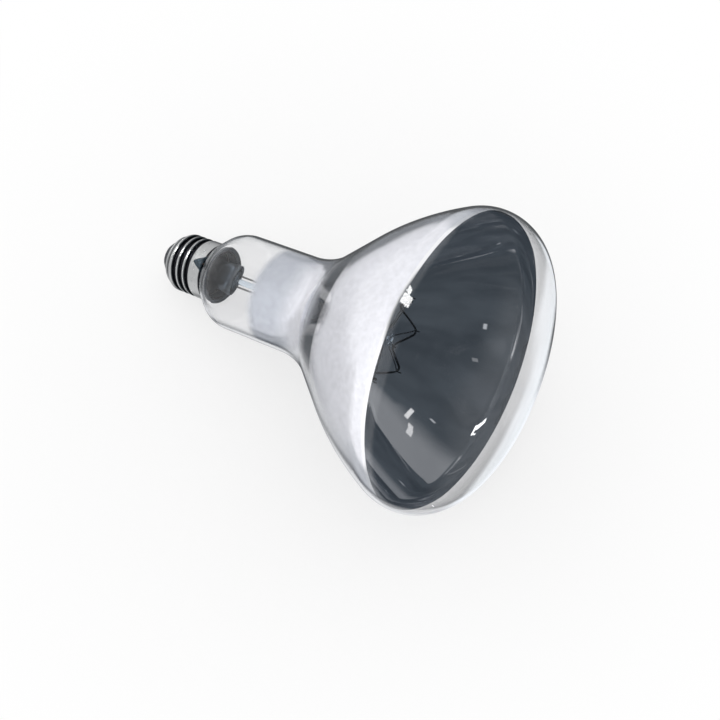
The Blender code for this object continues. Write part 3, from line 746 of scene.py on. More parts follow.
def mirror_back(lamp):
    """The film from behind: softly mottled silver, a painted highlight at its front edge, a ring of
    painted dark reflection where the cone turns into the neck, and a bluish neck.
    """
    made = Finish("mirror_back", lamp, Specular_IOR_Level=0.0)
    finish, station = lamp.finish, made.station
    mottle = made.noise(420.0, 4.0, roughness=0.6)
    clouds = made.noise(55.0, 4.0, roughness=0.55)
    ring_front = lamp.cone_corner - RING_AHEAD
    neck_front = ring_front + NECK_BEHIND
    waver = (clouds - 0.5) * 2.0 * MM
    on_neck = made.between(station + waver, neck_front, neck_front + NECK_BLEND)
    silver = made.mix(on_neck, finish.film, finish.neck_film)
    grain = made.between(mottle, 0.3, 0.7) * 0.6 + made.between(clouds, 0.3, 0.7) * 0.4
    silver = made.mix(grain, made.scaled(silver, 0.91), made.scaled(silver, 1.04))
    # Painted highlight: the film turns near-white ahead of the widest ring
    edge_highlight = 1.0 - made.between(station, lamp.widest - 0.4 * MM, lamp.widest + 0.2 * MM)
    silver = made.mix(edge_highlight, silver, EDGE_HIGHLIGHT_COLOUR)
    # Painted dark reflection: a dark, hardly metallic ring where the cone turns into the neck
    ring = made.between(station + (mottle - 0.5) * 0.5 * MM, ring_front, ring_front + RING_EDGE)
    fade_from, fade_to = (ring_front + distance for distance in RING_FADE)
    ring = ring * (1.0 - made.between(station, fade_from, fade_to))
    made.set(Base_Color=made.mix(ring, silver, finish.dark_ring_reflection), Metallic=1.0 - ring * 0.96)
    made.set(Roughness=0.05 + mottle * 0.09)
    made.bump(clouds + mottle * 0.12, 0.05 * MM)
    mirror_fade(made, lamp)
    return made


def mirror_front(lamp):
    """The film's own face, as clear as a mirror, with a faint haze towards the neck."""
    made = Finish("mirror_front", lamp, Metallic=1.0)
    tint = lamp.finish.mirror
    made.set(Base_Color=made.mix(made.noise(40.0), shade(tint, 0.94), tint))
    haze = made.between(made.station, lamp.cone_corner - 20.0 * MM, lamp.cone_corner + 20.0 * MM)
    made.set(Roughness=0.015 + haze * 0.05 + made.noise(150.0) * 0.015)
    made.bump(made.noise(35.0, 2.0), 0.03 * MM)
    mirror_fade(made, lamp)
    return made


def nickel_plate(lamp):
    """Bright rolled sheet, finely brushed round the axis, with painted shade in its grooves and at its
    rim.
    """
    cap, tint = lamp.cap, lamp.finish.nickel
    made = Finish("nickel_plate", lamp, Metallic=1.0)
    brushed = made.streaks(120.0, 9000.0)
    spots = made.noise(420.0, 5.0, roughness=0.65)
    clean = made.mix(brushed, shade(tint, 0.85), shade(tint, 1.1))
    clean = made.mix(made.between(spots, 0.56, 0.78), clean, shade(tint, 0.55))
    root, rise = cap.minor / 2.0, (cap.major - cap.minor) / 2.0
    # Painted shade: the thread's roots go dark and rougher, from its start to a little past its end
    painted_shade = 1.0 - made.between(made.radius, root + rise * 0.5, root + rise * 0.78)
    painted_shade = painted_shade * made.between(made.station, lamp.thread_start, lamp.thread_start + MM)
    shade_end = lamp.thread_end + 1.9 * MM
    painted_shade = painted_shade * (1.0 - made.between(made.station, shade_end, shade_end + 0.4 * MM))
    waver = spots * 0.5 * MM
    # Painted shade: a dark band on the shell just behind its rim, next to the gap
    rim_shade = 1.0 - made.between(made.station + waver, lamp.rim + 1.0 * MM, lamp.rim + 1.3 * MM)
    painted_shade = made.maths("MAXIMUM", painted_shade, rim_shade)
    made.set(Base_Color=made.mix(painted_shade, clean, lamp.finish.thread_shade))
    made.set(Roughness=0.20 + brushed * 0.08 + spots * 0.10 + painted_shade * 0.15)
    made.bump(brushed + spots, 0.012 * MM)
    return made


def metal(name, lamp, tint):
    """Plain metal with mottled colour, uneven polish and a fine grain."""
    made = Finish(name, lamp, Metallic=1.0)
    roughness, grain, relief = METALS[name]
    cloud = made.noise(grain, 4.0, roughness=0.6)
    made.set(Base_Color=made.mix(cloud, shade(tint, 0.72), shade(tint, 1.15)))
    made.set(Roughness=roughness * 0.75 + cloud * roughness * 0.5)
    made.bump(made.noise(grain * 3.0, 3.0), relief)
    return made


def black_glass(lamp):
    """Poured black glass, shiny, with small pits."""
    made = Finish("black_glass", lamp, Specular_IOR_Level=0.3)
    tint = lamp.finish.black_glass
    pits = made.between(made.noise(1500.0, 2.0), 0.62, 0.75)
    made.set(Base_Color=made.mix(made.noise(300.0), tint, shade(tint, 2.2)))
    made.set(Roughness=0.22 + pits * 0.3 + made.noise(500.0) * 0.1)
    made.bump(made.noise(350.0, 3.0) - pits * 0.3, 0.12 * MM)
    return made


def burnt_solder(lamp):
    """Side solder, dark and blotchy with burnt flux."""
    made = Finish("burnt_solder", lamp, Metallic=0.35)
    tint = lamp.finish.burnt
    blotches = made.between(made.noise(700.0, 4.0, roughness=0.6), 0.4, 0.7)
    made.set(Base_Color=made.mix(blotches, tint, shade(tint, 2.6)))
    made.set(Roughness=0.28 + blotches * 0.3)
    made.bump(made.noise(1400.0, 4.0), 0.12 * MM)
    return made


def basing_cement(lamp):
    """Grainy baked cement, coloured dark grey to paint the shade in the gap at the rim."""
    made = Finish("basing_cement", lamp)
    tint = lamp.finish.cement
    grains = made.noise(2200.0, 5.0, roughness=0.7)
    made.set(Base_Color=made.mix(grains, shade(tint, 0.6), shade(tint, 1.6)))
    made.set(Roughness=0.75 + grains * 0.2)
    made.bump(grains, 0.25 * MM)
    return made


# Operators

# Length of the waves that blowing leaves, and steps along the flare, the stem and a filament bend
BLOWN_WAVE = 28.0 * MM
FLARE_STEPS = 8
STEM_STEPS = 4
BEND_STEPS = 12


class HEATBULB_OT_glass(bpy.types.Operator):
    """Makes the blown glass bulb: one wall from the domed face to the throat inside the cap"""

    bl_idname = "heat_bulb.glass"
    bl_label = "Glass bulb"

    def execute(self, context):
        lamp = Lamp(context)
        inner = offset(lamp.outline, lamp.bulb.wall)
        inner[0] = Vector((lamp.bulb.wall, 0.0))
        mesh = lathed("bulb", lamp.outline + inner[::-1])
        swollen(mesh, lamp.bulb.waviness, BLOWN_WAVE)
        finish_piece(lamp, mesh, "bulb", [clear_glass(lamp)], "bulb_glass", ["glass_envelope"])
        return {"FINISHED"}


class HEATBULB_OT_mirror(bpy.types.Operator):
    """Makes the metal film inside the reflector and the front of the neck"""

    bl_idname = "heat_bulb.mirror"
    bl_label = "Mirror film"

    def execute(self, context):
        lamp = Lamp(context)
        bulb = lamp.bulb
        last = lamp.cone_corner + bulb.mirror_neck
        stretch = cut_outline(lamp.outline, lamp.widest - bulb.mirror_ahead, last)
        outer = offset(stretch, bulb.wall + bulb.mirror_gap)
        inner = offset(stretch, bulb.wall + bulb.mirror_gap + bulb.mirror_skin)
        outer, inner = spaced(outer, MM), spaced(inner, MM)
        mesh = lathed("mirror", outer + inner[::-1])
        swollen(mesh, bulb.waviness, BLOWN_WAVE)
        finishes = [mirror_back(lamp), mirror_front(lamp)]
        indices = [int(face.normal.xy.dot(face.center.xy) < 0.0) for face in mesh.polygons]
        finish_piece(lamp, mesh, "mirror", finishes, "reflector_film", ["mirror_film"])
        mesh.polygons.foreach_set("material_index", indices)
        return {"FINISHED"}


class HEATBULB_OT_mount(bpy.types.Operator):
    """Makes the glass mount: stem, pump tube and the rod with its button"""

    bl_idname = "heat_bulb.mount"
    bl_label = "Glass mount"

    def execute(self, context):
        lamp = Lamp(context)
        glass = stem_glass(lamp)
        for mesh, node in (
            (self.stem(lamp), "stem_flare_and_press"),
            (self.pump_tube(lamp), "exhaust_tube"),
            (self.rod(lamp), "arbor_rod"),
        ):
            finish_piece(lamp, mesh, mesh.name, [glass], "stem_glass", [node], sharp=60.0)
        return {"FINISHED"}

    def oval(self, lamp, half_width, half_thickness, station):
        """An ellipse about the axis, wide across the two lead wires."""
        ring, steps = [], STEPS_ROUND["stem"]
        for index in range(steps):
            turn = TURN * index / steps
            wide = polar(half_width * math.cos(turn), lamp.across, station)
            ring.append(wide + polar(half_thickness * math.sin(turn), lamp.mount.crown_azimuth, 0.0))
        return ring

    def smoothed(self, rows):
        """Rows of (width, thickness, station) with soft steps between them."""
        rows = [Vector(row) for row in rows]
        dense = []
        for index in range(len(rows) - 1):
            before, one = rows[max(index - 1, 0)], rows[index]
            other, after = rows[index + 1], rows[min(index + 2, len(rows) - 1)]
            for step in range(STEM_STEPS):
                t = step / STEM_STEPS
                dense.append(0.5 * (
                    2.0 * one + (other - before) * t
                    + (2.0 * before - 5.0 * one + 4.0 * other - after) * t * t
                    + (3.0 * one - before - 3.0 * other + after) * t ** 3
                ))
        return dense + [rows[-1]]

    def stem(self, lamp):
        """Flare, tube and press: a glass funnel pinched flat round the lead wires."""
        mount, wall = lamp.mount, lamp.bulb.wall
        half = mount.stem_diameter / 2.0
        middle = lamp.press_start + mount.stem_tube / 2.0
        inner = [
            (half - 2.0 * wall, mount.press_thickness / 3.0, lamp.hollow_end),
            (half - wall, half - wall, middle),
        ]
        outer = []
        for step in range(FLARE_STEPS + 1):
            part = step / FLARE_STEPS
            station = lamp.tube_start + mount.flare_length * part
            radius = half + (lamp.flare_radius - half) * part ** 2
            inner.append((radius - wall, radius - wall, station))
            outer.append((radius, radius, station))
        wide, thick = mount.press_width / 2.0, mount.press_thickness / 2.0
        outer = outer[::-1] + [
            (half, half, middle),
            ((half + wide) / 2.0, (half + thick) / 2.0, lamp.press_start + mount.stem_tube / 8.0),
            (wide, thick, lamp.press_start - mount.press_length / 3.0),
            (wide, thick, lamp.press_face + wall / 2.0),
            (wide - wall / 2.0, thick - wall / 2.0, lamp.press_face),
        ]
        rows = self.smoothed(inner) + self.smoothed(outer)
        mesh = lofted("stem", [self.oval(lamp, *row) for row in rows])
        return shaken(mesh, height=0.05 * MM, wave=4.0 * MM)

    def pump_tube(self, lamp):
        """The pump tube behind the press, tipped off and round at its end."""
        mount = lamp.mount
        radius = mount.exhaust_diameter / 2.0
        bore = radius - mount.exhaust_wall
        start = lamp.hollow_end + mount.gap
        tip = start + mount.exhaust_length
        end = tip - mount.exhaust_wall * 2.0
        outer = rounded([(start, radius), (tip, radius), (tip, 0.0)], [radius * 0.9])
        inner = rounded([(start, bore), (end, bore), (end, 0.0)], [bore * 0.9])
        return lathed("pump_tube", spaced(outer, MM) + spaced(inner, MM)[::-1])

    def rod(self, lamp):
        """The glass rod that stands on the press, with the button that holds the hooks."""
        mount = lamp.mount
        rod, button = mount.arbor_diameter / 2.0, mount.button_diameter / 2.0
        front = mount.crown_station - mount.button_length / 2.0
        back = mount.crown_station + mount.button_length / 2.0
        foot = lamp.press_face - mount.gap
        corners = [
            (front - mount.arbor_nose, 0.0), (front - mount.arbor_nose, rod), (front, rod),
            (front, button), (back, button), (back, rod), (foot, rod), (foot, 0.0),
        ]
        turns = [rod * 0.8, rod / 3.0, button / 2.5, button / 2.5, rod / 2.0, 0.0]
        return lathed("glass_rod", spaced(rounded(corners, turns), 2.0 * MM))


class HEATBULB_OT_filament(bpy.types.Operator):
    """Makes the coiled tungsten filament that zigzags round the crown of hooks"""

    bl_idname = "heat_bulb.filament"
    bl_label = "Filament"

    def execute(self, context):
        lamp = Lamp(context)
        mount = lamp.mount
        tree = Shape(
            "coiled_wire", coil_radius=(mount.coil_diameter - mount.coil_wire) / 2.0,
            wire_radius=mount.coil_wire / 2.0, pitch=mount.coil_pitch, steps=12, sides=6,
        )
        self.wind(tree)
        finish = metal("tungsten", lamp, lamp.finish.tungsten)
        mesh = tree.apply(curve_through("filament_path", crown_path(lamp)), finish.material)
        finish_piece(lamp, mesh, "filament_coil", [finish], "tungsten_coil", ["filament"], sharp=180.0)
        return {"FINISHED"}

    def wind(self, tree):
        """Winds a thin wire round the curve that the tree is given."""
        path = tree.node("GeometryNodeSetCurveNormal", tree.inputs[0]).outputs[0]
        steps = tree.value("steps")
        length = tree.node("GeometryNodeCurveLength", path).outputs[0]
        points = (Number(tree, length) / tree.value("pitch") * steps).socket
        path = tree.node("GeometryNodeResampleCurve", path, named={"Count": points}).outputs[0]
        index = Number(tree, tree.node("GeometryNodeInputIndex").outputs[0])
        turn = index * TURN / steps
        normal = tree.node("GeometryNodeInputNormal").outputs[0]
        tangent = tree.node("GeometryNodeInputTangent").outputs[0]
        side = tree.node("ShaderNodeVectorMath", tangent, normal, operation="CROSS_PRODUCT").outputs[0]
        radius = tree.value("coil_radius")
        shifts = [
            tree.scaled(way, radius * tree.maths(wave, turn))
            for way, wave in ((normal, "COSINE"), (side, "SINE"))
        ]
        shift = tree.node("ShaderNodeVectorMath", *shifts, operation="ADD").outputs[0]
        coil = tree.node("GeometryNodeSetPosition", path, named={"Offset": shift}).outputs[0]
        tree.end(tree.wire(coil))


def crown_path(lamp):
    """The filament's centre line: a rounded wave on a cylinder that bends round each hook."""
    mount, wrap, bend = lamp.mount, lamp.wrap, lamp.mount.filament_bend
    sag = bend - wrap
    spread = lamp.hook_step * mount.crown_radius
    height = mount.crown_height - 2.0 * sag
    lean = math.atan2(height, spread) + math.asin(2.0 * bend / math.hypot(spread, height))
    end = mount.crown_azimuth + mount.end_angle, mount.crown_azimuth + TURN - mount.end_angle
    flat = [(end[0] * mount.crown_radius, lamp.rear_hook + wrap)]
    for step in range(1, 2 * mount.crown_hooks):
        azimuth = mount.crown_azimuth + lamp.hook_step * step
        side = -1.0 if step % 2 else 1.0
        station = lamp.front_hook + sag if step % 2 else lamp.rear_hook - sag
        for part in range(BEND_STEPS + 1):
            turn = lean * (2.0 * part / BEND_STEPS - 1.0)
            across = azimuth * mount.crown_radius + bend * math.sin(turn)
            flat.append((across, station + side * bend * math.cos(turn)))
    flat.append((end[1] * mount.crown_radius, lamp.rear_hook + wrap))
    points = spaced(flat, 0.8 * MM)
    return [polar(mount.crown_radius, across / mount.crown_radius, along) for across, along in points]


class HEATBULB_OT_hooks(bpy.types.Operator):
    """Makes the wire hooks that carry the filament, set in the button like spokes"""

    bl_idname = "heat_bulb.hooks"
    bl_label = "Filament hooks"

    def execute(self, context):
        lamp = Lamp(context)
        finish = metal("molybdenum", lamp, lamp.finish.molybdenum)
        azimuth, step = lamp.mount.crown_azimuth, lamp.hook_step
        number = lamp.mount.crown_hooks
        for name, side, first, hooks in (
            ("front", -1.0, azimuth + step, number),
            ("rear", 1.0, azimuth + 2.0 * step, number - 1),
        ):
            tree = Shape(f"{name}_spokes", hooks=hooks, first=first, step=2.0 * step,
                         wire_radius=lamp.mount.hook_wire / 2.0, sides=10)
            self.spokes(tree)
            shape = curve_through(f"{name}_hook", self.hook(lamp, side))
            mesh = tree.apply(shape, finish.material)
            nodes = [f"{name}_hook_{index + 1}" for index in range(hooks)]
            finish_piece(lamp, mesh, f"{name}_hooks", [finish], "molybdenum_wire", nodes, sharp=60.0)
        return {"FINISHED"}

    def hook(self, lamp, side):
        """Out of the button, through the filament's bend, then turned up."""
        mount = lamp.mount
        station = mount.crown_station + side * mount.crown_height / 2.0
        root = mount.crown_station + side * mount.button_length / 6.0
        tip = mount.crown_radius + lamp.wrap + mount.gap
        corners = [
            (mount.button_diameter / 2.0 - mount.gap, 0.0, root),
            (mount.crown_radius - 2.0 * lamp.wrap, 0.0, station),
            (tip, 0.0, station),
            (tip, 0.0, station + side * (mount.hook_bend + mount.hook_tip)),
        ]
        return rounded(corners, [mount.hook_bend, mount.hook_bend])

    def spokes(self, tree):
        """Thickens one hook and repeats it round the axis."""
        hook = tree.wire(tree.inputs[0])
        points = tree.node("GeometryNodePoints", tree.inputs["hooks"]).outputs[0]
        index = Number(tree, tree.node("GeometryNodeInputIndex").outputs[0])
        turn = tree.value("first") + index * tree.value("step")
        rotation = tree.joined(0.0, 0.0, turn)
        spokes = tree.node("GeometryNodeInstanceOnPoints", points,
                           named={"Instance": hook, "Rotation": rotation})
        tree.end(spokes.outputs[0])


class HEATBULB_OT_leads(bpy.types.Operator):
    """Makes the lead wires: two inside the bulb and two from the press to the cap"""

    bl_idname = "heat_bulb.leads"
    bl_label = "Lead wires"

    def execute(self, context):
        lamp = Lamp(context)
        mount = lamp.mount
        # The inner leads' dark colour is painted shade
        nickel = metal("nickel_wire", lamp, lamp.finish.lead)
        copper = metal("copper_wire", lamp, lamp.finish.copper)
        for name, side in (("inner_lead_a", 1.0), ("inner_lead_b", -1.0)):
            mesh = wired(name, self.inner(lamp, side), mount.lead_wire)
            finish_piece(lamp, mesh, f"{name}_wire", [nickel], "nickel_wire", [name], sharp=60.0)
        for name, path in (("centre_lead", self.centre(lamp)), ("side_lead", self.side(lamp))):
            mesh = wired(name, path, mount.outer_wire)
            finish_piece(lamp, mesh, name, [copper], "copper_wire", [f"{name}_wire"], sharp=60.0)
        return {"FINISHED"}

    def beside(self, lamp, across, outwards, station):
        """A point set by its distance across the press and out towards the crown's gap."""
        return polar(across, lamp.across, station) + polar(outwards, lamp.mount.crown_azimuth, 0.0)

    def inner(self, lamp, side):
        """Out of the press, along the axis, then splayed to its end of the filament."""
        mount = lamp.mount
        end = lamp.rear_hook + lamp.wrap + (mount.coil_diameter + mount.lead_wire) / 2.0 + mount.gap
        out = mount.crown_radius * math.cos(mount.end_angle)
        across = side * mount.crown_radius * math.sin(mount.end_angle)
        splay_end = end + mount.lead_foot
        start = side * mount.lead_spacing / 2.0
        corners = [
            self.beside(lamp, start, 0.0, lamp.press_face - mount.gap),
            self.beside(lamp, start, 0.0, splay_end + mount.lead_splay),
            self.beside(lamp, across, out, splay_end),
            self.beside(lamp, across, out, end),
        ]
        return rounded(corners, [mount.lead_bend, mount.lead_bend])

    def side(self, lamp):
        """From the press round the end of the throat and forward through the cement to the rim."""
        mount, cap = lamp.mount, lamp.cap
        azimuth, wire = cap.solder_azimuth, mount.outer_wire
        inside = lamp.flare_radius - lamp.bulb.wall - mount.gap - wire
        channel = (lamp.throat_radius + cap.major / 2.0 - cap.sheet) / 2.0
        turn = lamp.throat_end + mount.gap + wire + (channel - inside) / 4.0
        step_out = lamp.rim - mount.gap - wire / 2.0
        spacing = -mount.lead_spacing / 2.0
        corners = [
            self.beside(lamp, spacing, 0.0, lamp.hollow_end + mount.gap),
            self.beside(lamp, spacing, 0.0, lamp.tube_start),
            polar(inside, azimuth, lamp.flare_rim - mount.gap),
            polar(inside, azimuth, turn),
            polar(channel, azimuth, turn),
            polar(channel, azimuth, step_out),
            polar(cap.major / 2.0 + cap.solder_height, azimuth, step_out),
        ]
        bend = (channel - inside) / 2.0
        return rounded(corners, [bend, bend, bend, bend, wire])

    def centre(self, lamp):
        """From the press past the pump tube to the hole in the centre contact."""
        mount = lamp.mount
        start = lamp.hollow_end + mount.gap
        spacing = mount.lead_spacing / 2.0
        insulator_start = lamp.thread_end - lamp.cap.insulator_flange
        corners = [
            self.beside(lamp, spacing, 0.0, start),
            self.beside(lamp, spacing, 0.0, start + mount.exhaust_length + mount.outer_wire),
            (0.0, 0.0, insulator_start - mount.outer_wire),
            (0.0, 0.0, lamp.contact_face),
        ]
        return rounded(corners, [spacing, spacing])


class HEATBULB_OT_shell(bpy.types.Operator):
    """Makes the screw shell: thin sheet rolled into a right-hand knuckle thread"""

    bl_idname = "heat_bulb.shell"
    bl_label = "Screw shell"

    def execute(self, context):
        lamp = Lamp(context)
        cap = lamp.cap
        tree = Shape(
            "rolled_thread", segments=112, rings=132, rim=lamp.rim,
            length=lamp.shell_end - lamp.rim, major=cap.major / 2.0,
            depth=(cap.major - cap.minor) / 2.0, pitch=cap.pitch, thread_start=lamp.thread_start,
            thread_end=lamp.thread_end, first_crest=cap.first_crest, lip_length=cap.lip_length,
            lip_drop=(cap.major - cap.lip_diameter) / 2.0,
        )
        self.roll(tree)
        finish = nickel_plate(lamp)
        blank = linked("shell_blank", bpy.data.meshes.new("shell_blank"))
        skin = linked("shell_skin", tree.apply(blank, finish.material))
        sheet = skin.modifiers.new("sheet", "SOLIDIFY")
        sheet.thickness = cap.sheet
        sheet.offset = -1.0
        mesh = plain_mesh(skin)
        finish_piece(lamp, mesh, "threaded_shell", [finish], "cap_shell", ["screw_shell"], sharp=50.0)
        return {"FINISHED"}

    def roll(self, tree):
        """A tube whose radius follows the thread between its plain band and its lip."""
        value = tree.value
        tube = tree.node("GeometryNodeMeshCylinder", fill_type="NONE", named={
            "Vertices": value("segments"), "Side Segments": value("rings"),
            "Radius": value("major"), "Depth": value("length"),
        }).outputs[0]
        x, y, z = tree.split(tree.node("GeometryNodeInputPosition").outputs[0])
        station = z + value("rim") + value("length") * 0.5
        pitch, depth = value("pitch"), value("depth")
        azimuth = tree.maths("ARCTAN2", y, x)
        crest = value("thread_start") + value("first_crest") + pitch * azimuth / TURN
        turns = (station - crest) / pitch
        distance = abs(turns - tree.maths("ROUND", turns)) * pitch
        quarter, rise = pitch * 0.25, depth * 0.5
        knuckle = (quarter * quarter + rise * rise) / (rise * 2.0)
        above = depth - knuckle + tree.maths("SQRT", knuckle * knuckle - distance * distance)
        rest = quarter * 2.0 - distance
        below = knuckle - tree.maths("SQRT", knuckle * knuckle - rest * rest)
        low = tree.maths("GREATER_THAN", distance, quarter)
        height = above + (below - above) * low
        fade = tree.smooth((station - value("thread_start")) / (pitch * 0.5))
        fade = fade * tree.smooth((value("thread_end") - station) / (pitch * 0.25))
        lip = tree.smooth((station - value("thread_end")) / value("lip_length"))
        radius = value("major") - fade * (depth - height) - lip * value("lip_drop")
        share_out = radius / value("major")
        place = tree.joined(x * share_out, y * share_out, station)
        tree.end(tree.node("GeometryNodeSetPosition", tube, named={"Position": place}).outputs[0])


class HEATBULB_OT_cap_end(bpy.types.Operator):
    """Makes the cement, the black glass insulator, the centre contact and both solders"""

    bl_idname = "heat_bulb.cap_end"
    bl_label = "Cap fittings"

    def execute(self, context):
        lamp = Lamp(context)
        finish = lamp.finish
        tin = metal("tin_solder", lamp, finish.solder)
        brass = metal("contact_brass", lamp, finish.brass)
        for mesh, made, slot, node in (
            (self.cement(lamp), basing_cement(lamp), "basing_cement", "cap_cement"),
            (self.insulator(lamp), black_glass(lamp), "cap_glass", "cap_insulator"),
            (self.contact(lamp), brass, "contact_brass", "centre_contact"),
            (self.drop(lamp), tin, "solder", "centre_solder"),
            (self.side_solder(lamp), burnt_solder(lamp), "burnt_solder", "side_solder"),
        ):
            finish_piece(lamp, mesh, mesh.name, [made], slot, [node])
        return {"FINISHED"}

    def cement(self, lamp):
        """Cement between throat and shell, open at the slot where the side lead comes out."""
        cap, gap = lamp.cap, lamp.mount.gap
        root, wall = lamp.throat_radius + gap, cap.major / 2.0 - cap.sheet - gap
        front, back = lamp.throat + gap, lamp.throat_end - gap
        flange = lamp.rim - gap
        outline = [
            (front, root), (back, root), (back, wall), (flange, wall),
            (flange, cap.major / 2.0), (front, cap.major / 2.0),
        ]
        outline = spaced([Vector(point) for point in outline + outline[:1]], 0.5 * MM)[:-1]
        start = cap.solder_azimuth + cap.cement_slot / 2.0
        mesh = lathed("cement", outline, start, TURN - cap.cement_slot)
        return shaken(mesh, height=0.10 * MM, wave=0.9 * MM)

    def insulator(self, lamp):
        """Black glass poured into the end of the shell, a blunt cone with a bore for the lead."""
        cap, gap = lamp.cap, lamp.mount.gap
        bore = cap.insulator_bore / 2.0
        flange = cap.minor / 2.0 - cap.sheet - gap
        lip = cap.lip_diameter / 2.0 - cap.sheet - gap
        start = lamp.thread_end - cap.insulator_flange
        corners = [
            (start, bore), (start, flange), (lamp.thread_end - gap, flange),
            (lamp.shell_end - gap, lip), (lamp.shell_end + gap, lip),
            (lamp.insulator_end, cap.insulator_end / 2.0), (lamp.insulator_end, bore),
        ]
        outline = rounded(corners, [gap, gap, 0.0, gap, 2.0 * gap])
        mesh = lathed("insulator", spaced(outline, 0.7 * MM))
        return shaken(mesh, height=0.07 * MM, wave=2.2 * MM)

    def contact(self, lamp):
        """A flat brass disc with a rounded edge and a hole for the lead."""
        cap = lamp.cap
        edge, hole = cap.contact_diameter / 2.0, cap.contact_hole / 2.0
        back = lamp.insulator_end + lamp.mount.gap
        corners = [(back, hole), (back, edge), (lamp.contact_face, edge), (lamp.contact_face, hole)]
        outline = rounded(corners, [0.1 * MM, cap.contact_thickness / 2.0])
        return lathed("contact", spaced(outline, 0.5 * MM))

    def drop(self, lamp):
        """The drop of solder that closes the hole in the contact."""
        cap, gap = lamp.cap, lamp.mount.gap
        edge = cap.drop_diameter / 2.0
        base = lamp.contact_face + gap
        top = base + cap.drop_height
        corners = [(base, 0.0), (base, edge), (top, edge * 0.5), (top, 0.0)]
        outline = rounded(corners, [0.0, cap.drop_height / 2.0])
        mesh = lathed("solder_drop", spaced(outline, 0.2 * MM))
        return shaken(mesh, height=0.12 * MM, wave=1.1 * MM)

    def side_solder(self, lamp):
        """A blunt wedge of solder on the rim band, widest at the rim and narrow at the thread."""
        cap = lamp.cap
        floor = cap.major / 2.0 + 0.02 * MM
        rows, columns = 28, 32
        rings = []
        for row in range(rows + 1):
            part = row / rows
            station = lamp.rim + 0.1 * MM + cap.solder_length * part
            ragged = 1.0 + 0.12 * noise.noise(Vector((7.0 * part, 3.1, 0.0)))
            half_angle = cap.solder_width / cap.major * (1.0 - 0.88 * part) * ragged
            low, high = [], []
            for column in range(columns + 1):
                side = 2.0 * column / columns - 1.0
                crown = math.sqrt(max(0.0, 1.0 - side ** 4)) * (1.0 - 0.7 * part ** 3)
                crown *= math.sin(min(1.0, 6.0 * part + 0.15) * math.pi / 2.0)
                azimuth = cap.solder_azimuth + half_angle * side
                lumps = 1.0 + 0.5 * noise.noise(Vector((azimuth * 13.1, station * 900.0, 1.7)))
                low.append(polar(floor, azimuth, station))
                radius = floor + 0.05 * MM + cap.solder_height * crown * lumps
                high.append(polar(radius, azimuth, station))
            rings.append(low + high[::-1])
        return lofted("solder_wedge", rings)


# Studio

# The photo's camera: its place from the middle of the face, its rotation and its lens
CAMERA_FROM_FACE = (0.040091, -0.178416, 0.438730)
CAMERA_TURN = (math.radians(22.715243), 0.0, math.radians(31.078651))
CAMERA_LENS = 62.0265

# The floor: its radius and edge steps, and where its glow begins and is full
FLOOR_RADIUS = 0.7
FLOOR_STEPS = 96
GLOW_FROM, GLOW_TO = 0.11, 0.24

# Colours of the walls and rooms that reflections show
WHITE = (1.0, 1.0, 1.0)
FILM_ROOM = ((0.048, 0.058, 0.069), (0.076, 0.090, 0.104))
FILM_ROOM_FOOT = (0.16, 0.17, 0.19)
UPPER_WALL = ((1.18, 1.18, 1.19), (1.0, 1.0, 1.01))
LOWER_WALL = ((0.86, 0.86, 0.87), (1.08, 1.08, 1.09))
NEAR_WALL = (1.12, 1.12, 1.13)
WALL_FOOT = (0.32, 0.33, 0.35)
SHEEN_WALL = ((0.62, 0.63, 0.65), (0.88, 0.89, 0.91))
SHEEN_ROOM = (0.035, 0.042, 0.050)
COOL = (0.96, 1.0, 1.05)

# Studio cards that the film shows, and those that glass and metal show directly: azimuth and
# height, half width and half height in degrees, grey level, softness across and upwards.
FILM_CARDS = {
    "grey_panel": (74.0, 8.0, 17.0, 36.0, 0.27, 0.12, 0.35),
    "bench_edge": (118.0, -58.0, 22.0, 24.0, 0.26, 0.15, 0.15),
    "side_drape": (112.0, -32.0, 13.0, 36.0, 0.58, 0.4, 0.15),
    "front_drape": (-113.0, -57.0, 20.0, 13.0, 0.52, 0.4, 0.4),
}
SHEEN_CARDS = {
    "far_bench": (165.0, -37.0, 38.0, 20.0, 0.26, 0.3, 0.3),
    "white_table": (62.0, -60.0, 15.0, 18.0, 1.0, 0.25, 0.2),
    "near_table": (22.0, -36.0, 16.0, 18.0, 0.25, 0.4, 0.4),
    "table_shadow": (110.0, -50.0, 19.0, 18.0, 0.10, 0.25, 0.2),
}
# Lamps that only a first reflection shows, in the film or in the outermost glass: azimuth and
# height, half width, half height and roll in degrees, and strength.
LAMP_EDGE = 0.2
FILM_LAMPS = {
    "overhead_bar": (125.0, 74.3, 7.8, 2.2, 0.0, 2.4),
    "overhead_end": (96.0, 70.3, 1.3, 4.3, 0.0, 2.4),
    "overhead_foot": (103.5, 67.3, 3.3, 0.8, 0.0, 2.0),
    "side_tube_high": (61.0, 47.5, 0.8, 4.9, 24.0, 0.9),
    "side_tube_low": (70.0, 38.5, 1.0, 4.3, 21.0, 0.8),
}
GLASS_LAMPS = {
    "window_low": (172.5, 63.0, 3.6, 12.0, 0.0, 24.0),
    "window_high": (161.0, 57.0, 2.2, 5.5, 0.0, 24.0),
}


